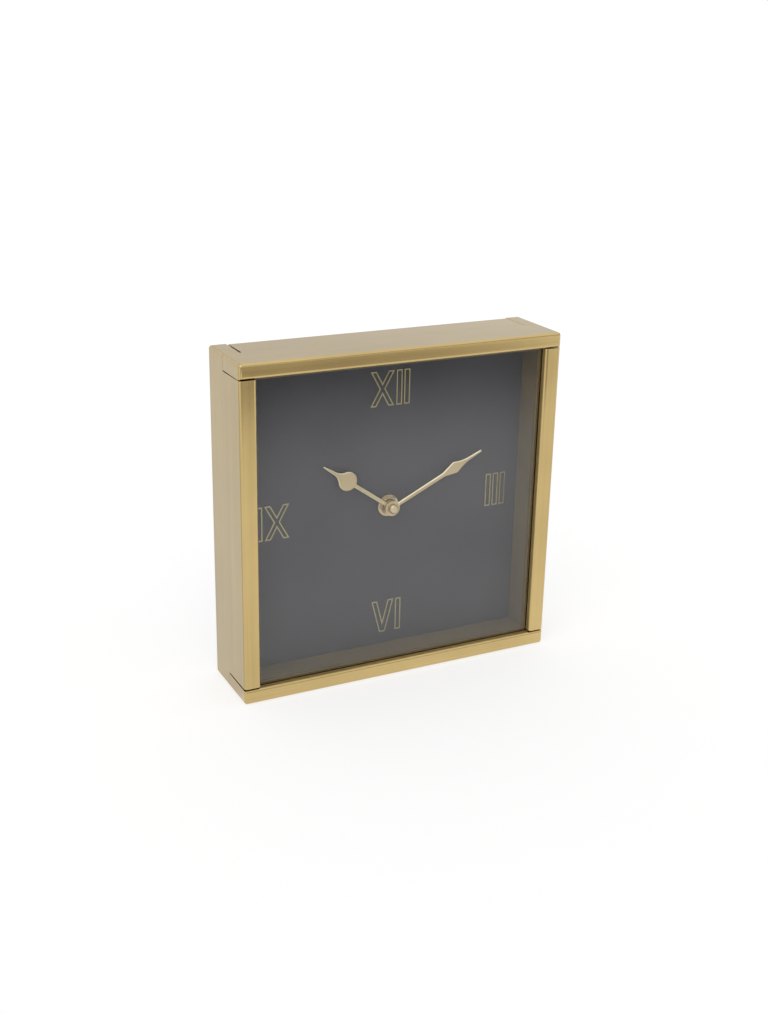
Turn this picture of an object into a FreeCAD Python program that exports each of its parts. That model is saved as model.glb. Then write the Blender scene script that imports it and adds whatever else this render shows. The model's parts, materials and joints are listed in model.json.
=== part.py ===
import FreeCAD, Part
import math
import os
import re

import Sketcher

# Driving dimensions in millimetres; names that end in share are plain ratios
SIZES = {
    # Case bars
    "case_width": 200,
    "case_height": 200,
    "case_depth": 48,
    "side_thickness": 10,
    "rail_thickness": 8.8,
    "rail_setback": 1.5,
    "lap_depth": 25,
    "seam_gap": 0.6,
    "lap_gap": 0.12,
    "edge_radius": 1.8,
    # Glass pane and its groove
    "glass_setback": 4,
    "glass_thickness": 2.5,
    "glass_play": 0.15,
    "groove_depth": 3,
    "groove_play": 0.5,
    # Dial, the strips round it, and the play of all that sits between the bars
    "dial_setback": 23.3,
    "dial_thickness": 3,
    "spacer_thickness": 1.6,
    "panel_play": 0.2,
    # Outlined numerals
    "numeral_height": 20.8,
    "numeral_line": 0.7,
    "numeral_relief": 0.3,
    "numeral_top_margin": 19.7,
    "numeral_side_margin": 16.9,
    "upright_width": 3.7,
    "cross_width": 15.2,
    "vee_width": 14.6,
    "limb_width": 3.7,
    "letter_gap": 1.3,
    # Corner blocks and all screws
    "block_side": 15,
    "joint_screw_share": 0.73,
    "cover_screw_share": 0.3,
    "side_screw_share": 0.3,
    "rail_screw_share": 0.7,
    "screw_radius": 1.5,
    "screw_play": 0.08,
    "screw_bite": 5.5,
    "screw_tip_play": 0.5,
    "cover_bite_share": 0.7,
    "head_radius": 2.8,
    "head_height": 1.8,
    "head_taper_share": 0.75,
    "slot_width": 0.9,
    "slot_depth": 0.9,
    # Back cover
    "cover_thickness": 3,
    "cover_recess": 1,
    "access_gap": 6,
    # What holds the movement to the dial
    "rubber_thickness": 1,
    "rubber_radius": 8,
    "washer_thickness": 0.5,
    "washer_radius": 6.6,
    "nut_thickness": 2.2,
    "nut_radius": 5.7,
    "nut_crown": 0.55,
    "bush_radius": 3.9,
    "bush_proud": 0.4,
    "bush_play": 0.15,
    "fit_play": 0.05,
    # Hands
    "hand_gap": 0.5,
    "hand_thickness": 0.6,
    "hub_thickness": 1.2,
    "press_play": 0.02,
    "hour_hub_radius": 4.6,
    "hour_length": 53,
    "hour_stem_width": 2.2,
    "bulb_reach_share": 0.65,
    "bulb_radius": 5.7,
    "spike_reach_share": 0.85,
    "spike_width": 1.5,
    "tip_width": 0.8,
    "minute_hub_radius": 4.6,
    "minute_length": 65.3,
    "minute_stem_width": 2.2,
    "kite_start_share": 0.573,
    "kite_middle_share": 0.708,
    "kite_end_share": 0.88,
    "kite_width": 7.2,
    "hand_nut_radius": 2.9,
    "hand_nut_height": 2.6,
    "hand_nut_crown": 0.8,
    "thread_length": 1.7,
    # Movement box and battery bay
    "movement_wall": 1.4,
    "lid_play": 0.1,
    "room_play": 1.8,
    "battery_radius": 7.1,
    "battery_length": 49.2,
    "battery_play": 0.3,
    "bay_play": 0.5,
    "terminal_radius": 2.7,
    "terminal_length": 1,
    "contact_thickness": 0.4,
    "contact_span": 9,
    "leaf_depth": 2.4,
    "leaf_foot": 1.2,
    "contact_play": 0.1,
    # Wheels, arbors and pipes
    "wheel_thickness": 0.9,
    "wheel_gap": 0.65,
    "pinion_overhang": 0.2,
    "train_module": 0.25,
    "rotor_module": 0.2,
    "arbor_gap": 0.3,
    "tooth_play": 0.06,
    "arbor_radius": 0.5,
    "stem_radius": 0.6,
    "pivot_length": 0.8,
    "pivot_end_play": 0.1,
    "minute_pipe_radius": 1.7,
    "hour_pipe_radius": 2.5,
    # Setting knob
    "knob_radius": 5.2,
    "knob_height": 2.8,
    "knob_gap": 0.4,
    "stem_recess": 0.7,
    "flute_radius": 0.5,
    # Motor
    "magnet_radius": 2.5,
    "magnet_overhang": 0.25,
    "air_gap": 0.7,
    "stator_thickness": 1,
    "stator_half_width": 10.5,
    "stator_half_height": 4.2,
    "stator_arm_width": 3,
    "coil_gap": 0.3,
    "coil_end_gap": 0.5,
    "coil_radius": 2.7,
    "flange_radius": 3.1,
    "flange_thickness": 0.8,
    "core_thickness": 1,
    "core_height": 2.4,
    "core_play": 0.1,
    "post_radius": 1.3,
    "pin_radius": 0.6,
    "post_inset": 1.3,
    "post_rise": 2.4,
    # Circuit board
    "board_margin": 1.1,
    "board_width": 15,
    "board_height": 13,
    "board_thickness": 1,
    "board_standoff": 2,
    "board_inset": 2,
    "chip_side": 4.2,
    "chip_height": 1.1,
    "crystal_radius": 1,
    "crystal_length": 6,
    "crystal_play": 0.05,
    # Length by which every cutting tool runs past the face it cuts
    "overrun": 1,
}

# Tooth counts of the train
TEETH = {
    "cannon": 14,
    "minute_wheel": 42,
    "minute_pinion": 12,
    "hour_wheel": 48,
    "centre_wheel": 64,
    "third_pinion": 8,
    "third_wheel": 60,
    "seconds_pinion": 8,
    "seconds_wheel": 60,
    "intermediate_pinion": 12,
    "intermediate_wheel": 60,
    "rotor_pinion": 10,
}
PRESSURE_ANGLE = math.radians(20)
ADDENDUM_SHARE = 0.8
DEDENDUM_SHARE = 1.15
KNOB_FLUTES = 20
NUT_SIDES = 6
WHEEL_LAYERS = 6

# Directions in degrees, seen from the front and counted from +X towards +Z
MINUTE_BEARING = 175
THIRD_BEARING = 15
INTERMEDIATE_BEARING = 95
ROTOR_BEARING = 120

# Angle of the fixing nut's crown to its face, in degrees
CROWN_ANGLE = 30

# The hands at rest, in degrees clockwise from twelve: about eleven minutes past ten
HOUR_ANGLE = 305.4
MINUTE_ANGLE = 64.5

# Places and lengths that follow from the driving dimensions
PLACES = {
    "front": "-case_depth / 2",
    "back": "case_depth / 2",
    "rail_back": "back - rail_setback",
    "lap": "front + lap_depth",
    "centre_height": "case_height / 2",
    "inner_x": "case_width / 2 - side_thickness",
    "inner_rise": "centre_height - rail_thickness",
    "rail_end_x": "inner_x - seam_gap",
    "groove_front": "front + glass_setback",
    "glass_front": "groove_front + glass_play",
    "glass_back": "glass_front + glass_thickness",
    "groove_back": "glass_back + glass_play",
    "pane_x": "inner_x + groove_depth - groove_play",
    "pane_rise": "inner_rise + groove_depth - groove_play",
    "dial_face": "front + dial_setback",
    "dial_back": "dial_face + dial_thickness",
    "numeral_rise": "inner_rise - numeral_top_margin",
    "numeral_reach": "inner_x - numeral_side_margin",
    "panel_x": "inner_x - panel_play",
    "panel_rise": "inner_rise - panel_play",
    "cover_back": "rail_back - cover_recess",
    "cover_front": "cover_back - cover_thickness",
    "block_inner_x": "panel_x - block_side",
    "block_inner_rise": "panel_rise - block_side",
    "block_length": "cover_front - dial_back",
    "joint_screw_x": "panel_x - block_side * joint_screw_share",
    "joint_screw_rise": "panel_rise - block_side * joint_screw_share",
    "cover_screw_x": "panel_x - block_side * cover_screw_share",
    "cover_screw_rise": "panel_rise - block_side * cover_screw_share",
    "side_screw_y": "dial_back + block_length * side_screw_share",
    "rail_screw_y": "dial_back + block_length * rail_screw_share",
    "cover_bite": "block_length * cover_bite_share",
    "screw_hole_radius": "screw_radius + screw_play",
    "bar_hole_depth": "screw_bite + screw_tip_play - panel_play",
    "movement_front": "dial_back + rubber_thickness",
    "room_front": "movement_front + movement_wall",
    "room_back": "coil_y + flange_radius + coil_gap",
    "movement_back": "room_back + movement_wall",
    "bay_width":
        "battery_length + terminal_length + contact_thickness + 2 * contact_play + leaf_depth",
    "bay_height": "2 * (battery_radius + bay_play)",
    "room_x": "bay_width / 2",
    "movement_x": "room_x + movement_wall",
    "room_low": "centre_height - centre_wheel_radius - room_play",
    "bay_high": "room_low - movement_wall",
    "bay_low": "bay_high - bay_height",
    "movement_low": "bay_low - movement_wall",
    "room_high": "coil_z + flange_radius + coil_gap",
    "movement_high": "room_high + movement_wall",
    "lid_low": "bay_high + movement_wall / 2",
    "washer_front": "dial_face - washer_thickness",
    "nut_front": "washer_front - nut_thickness",
    "bush_end": "nut_front - bush_proud",
    "hour_hub_back": "bush_end - hand_gap",
    "hour_hub_front": "hour_hub_back - hub_thickness",
    "minute_hub_back": "hour_hub_front - hand_gap",
    "minute_hub_front": "minute_hub_back - hub_thickness",
    "pipe_end": "minute_hub_front - thread_length",
    "layer_pitch": "wheel_thickness + wheel_gap",
    "stator_front": f"room_front + wheel_gap + {WHEEL_LAYERS} * layer_pitch",
    "stator_back": "stator_front + stator_thickness",
    "centre_wheel_radius": f"train_module * ({TEETH['centre_wheel']} / 2 + {ADDENDUM_SHARE})",
    "motion_distance": "centre_wheel_radius + stem_radius + arbor_gap",
    "motion_module": f"2 * motion_distance / {TEETH['cannon'] + TEETH['minute_wheel']}",
    "hour_module": f"2 * motion_distance / {TEETH['minute_pinion'] + TEETH['hour_wheel']}",
    "train_distance": f"train_module * {TEETH['centre_wheel'] + TEETH['third_pinion']} / 2",
    "third_module": f"2 * train_distance / {TEETH['third_wheel'] + TEETH['seconds_pinion']}",
    "intermediate_distance": "centre_wheel_radius + arbor_radius + arbor_gap",
    "seconds_module":
        f"2 * intermediate_distance / {TEETH['seconds_wheel'] + TEETH['intermediate_pinion']}",
    "rotor_distance": f"rotor_module * {TEETH['intermediate_wheel'] + TEETH['rotor_pinion']} / 2",
    "minute_x": f"motion_distance * cos({MINUTE_BEARING} deg)",
    "minute_z": f"centre_height + motion_distance * sin({MINUTE_BEARING} deg)",
    "third_x": f"train_distance * cos({THIRD_BEARING} deg)",
    "third_z": f"centre_height + train_distance * sin({THIRD_BEARING} deg)",
    "intermediate_x": f"intermediate_distance * cos({INTERMEDIATE_BEARING} deg)",
    "intermediate_z": f"centre_height + intermediate_distance * sin({INTERMEDIATE_BEARING} deg)",
    "rotor_x": f"intermediate_x + rotor_distance * cos({ROTOR_BEARING} deg)",
    "rotor_z": f"intermediate_z + rotor_distance * sin({ROTOR_BEARING} deg)",
    "post_reach": "stator_half_width - post_inset",
    "post_z": "rotor_z + post_rise",
    "board_left": "room_x - board_margin - board_width",
    "board_low": "room_high - board_margin - board_height",
    "board_front": "room_front + board_standoff",
    "board_back": "board_front + board_thickness",
    "coil_y": "stator_front - core_thickness / 2",
    "coil_z": "rotor_z + stator_half_height + flange_radius + coil_gap",
    "coil_half_length": "stator_half_width - stator_arm_width - coil_end_gap",
    "knob_front": "movement_back + knob_gap",
    "knob_back": "knob_front + knob_height",
    "battery_y": "room_front + battery_play + battery_radius",
    "battery_z": "bay_low + bay_height / 2",
    "battery_right": "room_x - contact_thickness - contact_play - terminal_length",
    "battery_left": "battery_right - battery_length",
    "bulb_reach": "hour_length * bulb_reach_share",
    "spike_reach": "hour_length * spike_reach_share",
    "kite_start": "minute_length * kite_start_share",
    "kite_middle": "minute_length * kite_middle_share",
    "kite_end": "minute_length * kite_end_share",
    "kite_flare": "(kite_width - spike_width) / 2",
    "kite_flank_radius": "(kite_flare^2 + (kite_end - kite_middle)^2) / (2 * kite_flare)",
    "ogee_radius":
        "((spike_reach - bulb_reach)^2 + spike_width^2 / 4 - bulb_radius^2)"
        " / (2 * bulb_radius - spike_width)",
    "ogee_share": "bulb_radius / (bulb_radius + ogee_radius)",
}

CENTRE = ("0", "centre_height")
MINUTE_AXIS = ("minute_x", "minute_z")
THIRD_AXIS = ("third_x", "third_z")
INTERMEDIATE_AXIS = ("intermediate_x", "intermediate_z")
ROTOR_AXIS = ("rotor_x", "rotor_z")

X_AXIS = FreeCAD.Vector(1, 0, 0)
Y_AXIS = FreeCAD.Vector(0, 1, 0)
Z_AXIS = FreeCAD.Vector(0, 0, 1)
# Turns that lay a tool's own Z axis along +X and +Y, and a sketch on the XZ plane
ALONG = {
    "X": FreeCAD.Rotation(Y_AXIS, 90),
    "Y": FreeCAD.Rotation(X_AXIS, -90),
    "Z": FreeCAD.Rotation(),
}
FACING_FRONT = FreeCAD.Rotation(X_AXIS, 90)

doc = FreeCAD.newDocument("table_clock")
sheet = doc.addObject("Spreadsheet::Sheet", "sizes")
for row, (alias, value) in enumerate(SIZES.items(), 1):
    sheet.set(f"A{row}", alias)
    sheet.set(f"B{row}", str(value))
    sheet.setAlias(f"B{row}", alias)
doc.recompute()

pieces = []


# Formulas

def formula(text):
    """Spell a formula of named sizes and places out in cells of the sheet."""
    def spell(word):
        name = word.group()
        if name in PLACES:
            return f"({formula(PLACES[name])})"
        if name in SIZES:
            return f"sizes.{name}"
        return name
    return re.sub("[a-z_]+", spell, text)


def number(text):
    return float(sheet.evalExpression(formula(text)))


def bind(target, name, text):
    target.setExpression(name, formula(text))


def place(target, x, y, z):
    bind(target, "Placement.Base.x", x)
    bind(target, "Placement.Base.y", y)
    bind(target, "Placement.Base.z", z)


def about(middle, half):
    """Give the two ends of a length that lies evenly about a middle."""
    return (f"{middle} - ({half})", f"{middle} + ({half})")


def outward(sign, near, far):
    """Give a length from near to far of the centre plane, on the plus or the minus side."""
    return (near, far) if sign > 0 else (f"-({far})", f"-({near})")


def from_centre(sign, rise):
    return f"centre_height + {sign} * ({rise})"


def layer(index):
    """Give the front face of a wheel's layer in the movement."""
    return f"room_front + wheel_gap + {index} * layer_pitch"


# Solids

def box(name, x, y, z):
    solid = doc.addObject("Part::Box", name)
    for side, axis, (low, high) in zip(("Length", "Width", "Height"), "xyz", (x, y, z)):
        bind(solid, side, f"({high}) - ({low})")
        bind(solid, f"Placement.Base.{axis}", low)
    return solid


def rod(name, radius, ends, axis="Y", at=CENTRE):
    """Make a cylinder between two ends along an axis, at a place in the other two axes."""
    solid = doc.addObject("Part::Cylinder", name)
    solid.Placement = FreeCAD.Placement(FreeCAD.Vector(), ALONG[axis])
    low, high = ends
    bind(solid, "Radius", radius)
    bind(solid, "Height", f"({high}) - ({low})")
    spot = list(at)
    spot.insert("XYZ".index(axis), low)
    place(solid, *spot)
    return solid


def fuse(name, *solids):
    whole = doc.addObject("Part::MultiFuse", name)
    whole.Shapes = list(solids)
    whole.Refine = True
    return whole


def cut(name, base, *tools):
    result = doc.addObject("Part::Cut", name)
    result.Base = base
    result.Tool = tools[0] if len(tools) == 1 else fuse(f"{name}_tools", *tools)
    result.Refine = True
    return result


def group(name, solids):
    compound = doc.addObject("Part::Compound", name)
    compound.Links = list(solids)
    return compound


def piece(name, solid):
    """Name a finished sub-part."""
    solid.Label = name
    pieces.append(solid)
    return solid


# Sketches

def start_sketch(body, plane, offset):
    sketch = body.newObject("Sketcher::SketchObject", f"{body.Name}_sketch")
    support = [feature for feature in body.Origin.OriginFeatures if feature.Role == plane]
    sketch.AttachmentSupport = [(support[0], "")]
    sketch.MapMode = "FlatFace"
    bind(sketch, "AttachmentOffset.Base.z", offset)
    return sketch


def constrain(sketch, text, kind, *where):
    index = sketch.addConstraint(Sketcher.Constraint(kind, *where, number(text)))
    bind(sketch, f"Constraints[{index}]", text)


def pin(sketch, geometry, end, x, y):
    constrain(sketch, x, "DistanceX", -1, 1, geometry, end)
    constrain(sketch, y, "DistanceY", -1, 1, geometry, end)


def add_arc(sketch, start, end, centre_x, centre_y, radius, turn):
    """Add an arc that turns left (+1) or right (-1), and say which of its ends come first."""
    centre = FreeCAD.Vector(number(centre_x), number(centre_y), 0)
    if turn < 0:
        start, end = end, start
    angles = [math.atan2(spot.y - centre.y, spot.x - centre.x) for spot in (start, end)]
    if angles[1] < angles[0]:
        angles[1] += 2 * math.pi
    circle = Part.Circle(centre, Z_AXIS, number(radius))
    index = sketch.addGeometry(Part.ArcOfCircle(circle, *angles))
    constrain(sketch, radius, "Radius", index)
    return (index, 1, 2) if turn > 0 else (index, 2, 1)


def outline(sketch, corners, rounds=None):
    """Draw a closed outline; rounds gives the arc that leaves a corner, by its number."""
    rounds = rounds or {}
    spots = [FreeCAD.Vector(number(x), number(y), 0) for x, y in corners]
    edges = []
    for index, spot in enumerate(spots):
        following = spots[(index + 1) % len(spots)]
        if index in rounds:
            edges.append(add_arc(sketch, spot, following, *rounds[index]))
        else:
            edges.append((sketch.addGeometry(Part.LineSegment(spot, following)), 1, 2))
    for index, (geometry, start, end) in enumerate(edges):
        following, following_start, _ = edges[(index + 1) % len(edges)]
        sketch.addConstraint(
            Sketcher.Constraint("Coincident", geometry, end, following, following_start))
        pin(sketch, geometry, start, *corners[index])


def circle(sketch, x, y, radius):
    centre = FreeCAD.Vector(number(x), number(y), 0)
    index = sketch.addGeometry(Part.Circle(centre, Z_AXIS, number(radius)))
    pin(sketch, index, 3, x, y)
    constrain(sketch, radius, "Radius", index)


def rectangle(x, y):
    return [(x[0], y[0]), (x[1], y[0]), (x[1], y[1]), (x[0], y[1])]


def pad(body, sketch, length, towards_back=False):
    feature = body.newObject("PartDesign::Pad", f"{body.Name}_pad")
    feature.Profile = sketch
    feature.Reversed = towards_back
    bind(feature, "Length", length)
    doc.recompute()
    return feature


def pocket(body, sketch, depth, turned=False):
    """Cut a sketch into a body, and make sure that it takes material away."""
    before = body.Shape.Volume
    feature = body.newObject("PartDesign::Pocket", f"{body.Name}_pocket")
    feature.Profile = sketch
    feature.Reversed = turned
    bind(feature, "Length", depth)
    doc.recompute()
    if body.Shape.Volume >= before:
        raise RuntimeError(f"{feature.Name} cuts nothing")


def near(value, text):
    """Say whether a value lies within an edge's rounding of a named place."""
    return abs(value - number(text)) < number("edge_radius")


def round_edges(body, feature, chosen):
    """Round the edges that are chosen by their middle point."""
    fillet = body.newObject("PartDesign::Fillet", f"{body.Name}_fillet")
    fillet.Base = (feature, [
        f"Edge{index}" for index, edge in enumerate(feature.Shape.Edges, 1)
        if chosen(edge.CenterOfMass)
    ])
    bind(fillet, "Radius", "edge_radius")
    doc.recompute()


# Toothed wheels

def half_tooth(teeth, module, radius):
    """Give half the angle that an involute tooth fills at a radius, with its play."""
    pitch_radius = teeth * module / 2
    base_radius = pitch_radius * math.cos(PRESSURE_ANGLE)
    lean = math.acos(base_radius / max(radius, base_radius))
    rolled = math.tan(PRESSURE_ANGLE) - PRESSURE_ANGLE - math.tan(lean) + lean
    return math.pi / (2 * teeth) + rolled - number("tooth_play") / (2 * pitch_radius)


def toothed(name, teeth, module, ends, at, phase=0.0):
    """Make a toothed disc; phase turns its first tooth away from +X towards +Z."""
    module = number(module)
    pitch_radius = teeth * module / 2
    radii = (
        pitch_radius - DEDENDUM_SHARE * module,
        pitch_radius,
        pitch_radius + ADDENDUM_SHARE * module,
    )
    flank = [(radius, half_tooth(teeth, module, radius)) for radius in radii]
    tooth = [(radius, -half) for radius, half in flank] + flank[::-1]
    low, high = (number(end) for end in ends)
    corners = []
    for index in range(teeth):
        middle = phase + 2 * math.pi * index / teeth
        for radius, turn in tooth:
            angle = middle + turn
            corners.append(FreeCAD.Vector(radius * math.cos(angle), low, radius * math.sin(angle)))
    face = Part.Face(Part.makePolygon(corners + corners[:1]))
    disc = doc.addObject("Part::Feature", name)
    disc.Shape = face.extrude(Y_AXIS * (high - low))
    x, z = at
    place(disc, x, "0", z)
    return disc


def meshing(bearing, driver_teeth, driven_teeth):
    """Give the phase that sets the driven teeth between those of a driver at phase zero."""
    direction = math.radians(bearing)
    step = direction * driver_teeth / (2 * math.pi)
    return direction + math.pi - 2 * math.pi * (0.5 - step) / driven_teeth


# Case bars

def rail(name, low, inner, outer, inner_is_low):
    """Make the top or bottom bar, whose front half runs over the side bars' ends."""
    body = doc.addObject("PartDesign::Body", name)
    lap_end = "lap - lap_gap / 2"
    half = "case_width / 2"

    def rounded(middle):
        """The edges outside the joints, which stay sharp."""
        at_front = near(middle.y, "front")
        at_back = near(middle.y, "rail_back") and near(middle.x, "0")
        at_end = near(abs(middle.x), half) and near(middle.z, outer)
        return at_front or at_back or at_end

    sketch = start_sketch(body, "XY_Plane", low)
    outline(sketch, [
        (f"-{half}", "front"), (half, "front"), (half, lap_end), ("rail_end_x", lap_end),
        ("rail_end_x", "rail_back"), ("-(rail_end_x)", "rail_back"),
        ("-(rail_end_x)", lap_end), (f"-{half}", lap_end),
    ])
    round_edges(body, pad(body, sketch, "rail_thickness"), rounded)
    groove = start_sketch(body, "XY_Plane", inner)
    groove_x = "inner_x + groove_depth"
    outline(groove, rectangle((f"-({groove_x})", groove_x), ("groove_front", "groove_back")))
    pocket(body, groove, "groove_depth", inner_is_low)
    holes = start_sketch(body, "XY_Plane", inner)
    for sign in (-1, 1):
        circle(holes, f"{sign} * (joint_screw_x)", "rail_screw_y", "screw_hole_radius")
    pocket(body, holes, "bar_hole_depth", inner_is_low)
    piece(name, body)


def side_bar(name, low, inner, inner_is_low):
    """Make the left or right bar, whose rear half runs the full height."""
    body = doc.addObject("PartDesign::Body", name)
    lap_start = "lap + lap_gap / 2"
    foot = "rail_thickness + seam_gap"
    head = f"case_height - ({foot})"

    def rounded(middle):
        """The edges outside the joints, which stay sharp."""
        at_front = near(middle.y, "front") and near(middle.z, "centre_height")
        at_back = near(middle.y, "back")
        at_end = near(middle.z, "0") or near(middle.z, "case_height")
        return at_front or at_back or (at_end and near(abs(middle.x), "case_width / 2"))

    sketch = start_sketch(body, "YZ_Plane", low)
    outline(sketch, [
        ("front", foot), (lap_start, foot), (lap_start, "0"), ("back", "0"),
        ("back", "case_height"), (lap_start, "case_height"), (lap_start, head), ("front", head),
    ])
    round_edges(body, pad(body, sketch, "side_thickness"), rounded)
    groove = start_sketch(body, "YZ_Plane", inner)
    outline(groove, rectangle(
        ("groove_front", "groove_back"), ("rail_thickness", "case_height - rail_thickness")))
    pocket(body, groove, "groove_depth", inner_is_low)
    holes = start_sketch(body, "YZ_Plane", inner)
    for sign in (-1, 1):
        circle(holes, "side_screw_y", from_centre(sign, "joint_screw_rise"), "screw_hole_radius")
    pocket(body, holes, "bar_hole_depth", inner_is_low)
    piece(name, body)


# Glass, dial and spacers

def glass():
    piece("glass", box(
        "pane", about("0", "pane_x"), ("glass_front", "glass_back"),
        about("centre_height", "pane_rise")))


def spacers():
    """Line the space between glass and dial with four strips, the upright ones between."""
    depth = ("groove_back", "dial_face")
    inner_rise = "panel_rise - spacer_thickness - panel_play"
    for name, sign in (("spacer_left", -1), ("spacer_right", 1)):
        piece(name, box(
            "strip", outward(sign, "panel_x - spacer_thickness", "panel_x"), depth,
            about("centre_height", inner_rise)))
    for name, sign in (("spacer_bottom", -1), ("spacer_top", 1)):
        low, high = outward(sign, "panel_rise - spacer_thickness", "panel_rise")
        piece(name, box(
            "strip", about("0", "panel_x"), depth,
            (f"centre_height + ({low})", f"centre_height + ({high})")))


def dial_board():
    board = box(
        "dial_blank", about("0", "panel_x"), ("dial_face", "dial_back"),
        about("centre_height", "panel_rise"))
    hole = rod(
        "dial_hole", "bush_radius + bush_play", ("dial_face - overrun", "dial_back + overrun"))
    piece("dial_board", cut("dial", board, hole))


def upright(left, low):
    return rectangle(
        (left, f"{left} + upright_width"), (low, f"{low} + numeral_height"))


def cross(left, low):
    """Outline an X of two limbs that cross at half height."""
    fork = "numeral_height * (cross_width / 2 - limb_width) / (cross_width - limb_width)"
    waist = "(cross_width - limb_width) / 2"
    right = f"{left} + cross_width"
    top = f"{low} + numeral_height"
    middle_x = f"{left} + cross_width / 2"
    middle_z = f"{low} + numeral_height / 2"
    return [
        (left, low), (f"{left} + limb_width", low), (middle_x, f"{low} + {fork}"),
        (f"{right} - limb_width", low), (right, low), (f"{right} - {waist}", middle_z),
        (right, top), (f"{right} - limb_width", top), (middle_x, f"{top} - {fork}"),
        (f"{left} + limb_width", top), (left, top), (f"{left} + {waist}", middle_z),
    ]


def vee(left, low):
    right = f"{left} + vee_width"
    top = f"{low} + numeral_height"
    middle = f"{left} + vee_width / 2"
    fork = "numeral_height * limb_width / (vee_width - limb_width)"
    return [
        (f"{middle} - limb_width / 2", low), (f"{middle} + limb_width / 2", low), (right, top),
        (f"{right} - limb_width", top), (middle, f"{low} + {fork}"),
        (f"{left} + limb_width", top), (left, top),
    ]


LETTERS = {
    "I": (upright, "upright_width"),
    "V": (vee, "vee_width"),
    "X": (cross, "cross_width"),
}
NUMERALS = {
    "XII": ("0", "numeral_rise"),
    "III": ("numeral_reach", "0"),
    "VI": ("0", "-(numeral_rise)"),
    "IX": ("-(numeral_reach)", "0"),
}


def letter(corners):
    """Raise the outline of one letter from the dial's face."""
    sketch = doc.addObject("Sketcher::SketchObject", "letter_sketch")
    sketch.Placement = FreeCAD.Placement(FreeCAD.Vector(), FACING_FRONT)
    bind(sketch, "Placement.Base.y", "dial_face")
    outline(sketch, corners)
    line = doc.addObject("Part::Offset2D", "letter_line")
    line.Source = sketch
    line.Fill = True
    line.Join = "Intersection"
    bind(line, "Value", "-numeral_line")
    solid = doc.addObject("Part::Extrusion", "letter")
    solid.Base = line
    solid.DirMode = "Custom"
    solid.Dir = -Y_AXIS
    solid.Solid = True
    bind(solid, "LengthFwd", "numeral_relief")
    return solid


def dial_numerals():
    letters = []
    for word, (x, rise) in NUMERALS.items():
        widths = [LETTERS[sign][1] for sign in word]
        width = " + ".join(widths) + f" + {len(word) - 1} * letter_gap"
        left = f"{x} - ({width}) / 2"
        low = f"centre_height + {rise} - numeral_height / 2"
        for sign in word:
            draw, letter_width = LETTERS[sign]
            letters.append(letter(draw(left, low)))
            left = f"{left} + {letter_width} + letter_gap"
    piece("dial_numerals", group("numerals", letters))


# Corner blocks, back cover and screws

def screw(name, length, turn, x, y, z):
    """Make a slotted screw whose head seats at a place; turn takes its own Z along the head."""
    shank = rod("shank", "screw_radius", (f"-({length})", "0"), "Z", ("0", "0"))
    head = doc.addObject("Part::Cone", "head")
    bind(head, "Radius1", "head_radius")
    bind(head, "Radius2", "head_radius * head_taper_share")
    bind(head, "Height", "head_height")
    slot = box(
        "slot", about("0", "head_radius + overrun"), about("0", "slot_width / 2"),
        ("head_height - slot_depth", "head_height + overrun"))
    whole = cut(name, fuse("blank", shank, head), slot)
    whole.Placement = FreeCAD.Placement(FreeCAD.Vector(), turn)
    place(whole, x, y, z)
    return whole


CORNERS = {
    "top_left": (-1, 1),
    "top_right": (1, 1),
    "bottom_left": (-1, -1),
    "bottom_right": (1, -1),
}


def corner_blocks():
    for name, (side, end) in CORNERS.items():
        x = outward(side, "block_inner_x", "panel_x")
        low, high = outward(end, "block_inner_rise", "panel_rise")
        z = (f"centre_height + ({low})", f"centre_height + ({high})")
        block = box("block", x, ("dial_back", "cover_front"), z)
        past_x = (f"{x[0]} - overrun", f"{x[1]} + overrun")
        past_z = (f"{z[0]} - overrun", f"{z[1]} + overrun")
        side_hole = rod(
            "side_hole", "screw_hole_radius", past_x, "X",
            ("side_screw_y", from_centre(end, "joint_screw_rise")))
        rail_hole = rod(
            "rail_hole", "screw_hole_radius", past_z, "Z",
            (f"{side} * (joint_screw_x)", "rail_screw_y"))
        cover_hole = rod(
            "cover_hole", "screw_hole_radius",
            ("cover_front - cover_bite - screw_tip_play", "cover_front + overrun"), "Y",
            (f"{side} * (cover_screw_x)", from_centre(end, "cover_screw_rise")))
        piece(f"corner_block_{name}", cut("corner", block, side_hole, rail_hole, cover_hole))


def corner_screws():
    length = "block_side + screw_bite"
    screws = []
    for side, end in CORNERS.values():
        screws.append(screw(
            "side_screw", length, FreeCAD.Rotation(Y_AXIS, -90 * side),
            f"{side} * (block_inner_x)", "side_screw_y", from_centre(end, "joint_screw_rise")))
        screws.append(screw(
            "rail_screw", length, FreeCAD.Rotation(X_AXIS, 90 + 90 * end),
            f"{side} * (joint_screw_x)", "rail_screw_y", from_centre(end, "block_inner_rise")))
    piece("corner_screws", group("corner_screw_set", screws))


def back_cover():
    panel = box(
        "cover_blank", about("0", "panel_x"), ("cover_front", "cover_back"),
        about("centre_height", "panel_rise"))
    through = ("cover_front - overrun", "cover_back + overrun")
    access = box(
        "access", about("0", "movement_x + access_gap"), through,
        ("movement_low - access_gap", "movement_high + access_gap"))
    holes = [
        rod("cover_hole", "screw_hole_radius", through, "Y",
            (f"{side} * (cover_screw_x)", from_centre(end, "cover_screw_rise")))
        for side, end in CORNERS.values()
    ]
    piece("back_cover", cut("cover", panel, access, *holes))


def back_cover_screws():
    screws = [
        screw("cover_screw", "cover_thickness + cover_bite", ALONG["Y"],
              f"{side} * (cover_screw_x)", "cover_back", from_centre(end, "cover_screw_rise"))
        for side, end in CORNERS.values()
    ]
    piece("back_cover_screws", group("cover_screw_set", screws))


# What holds the movement to the dial

def ring(name, radius, ends, hole_radius):
    low, high = ends
    hole = rod("ring_hole", hole_radius, (f"{low} - overrun", f"{high} + overrun"))
    piece(name, cut("ring", rod("ring_blank", radius, ends), hole))


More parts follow.
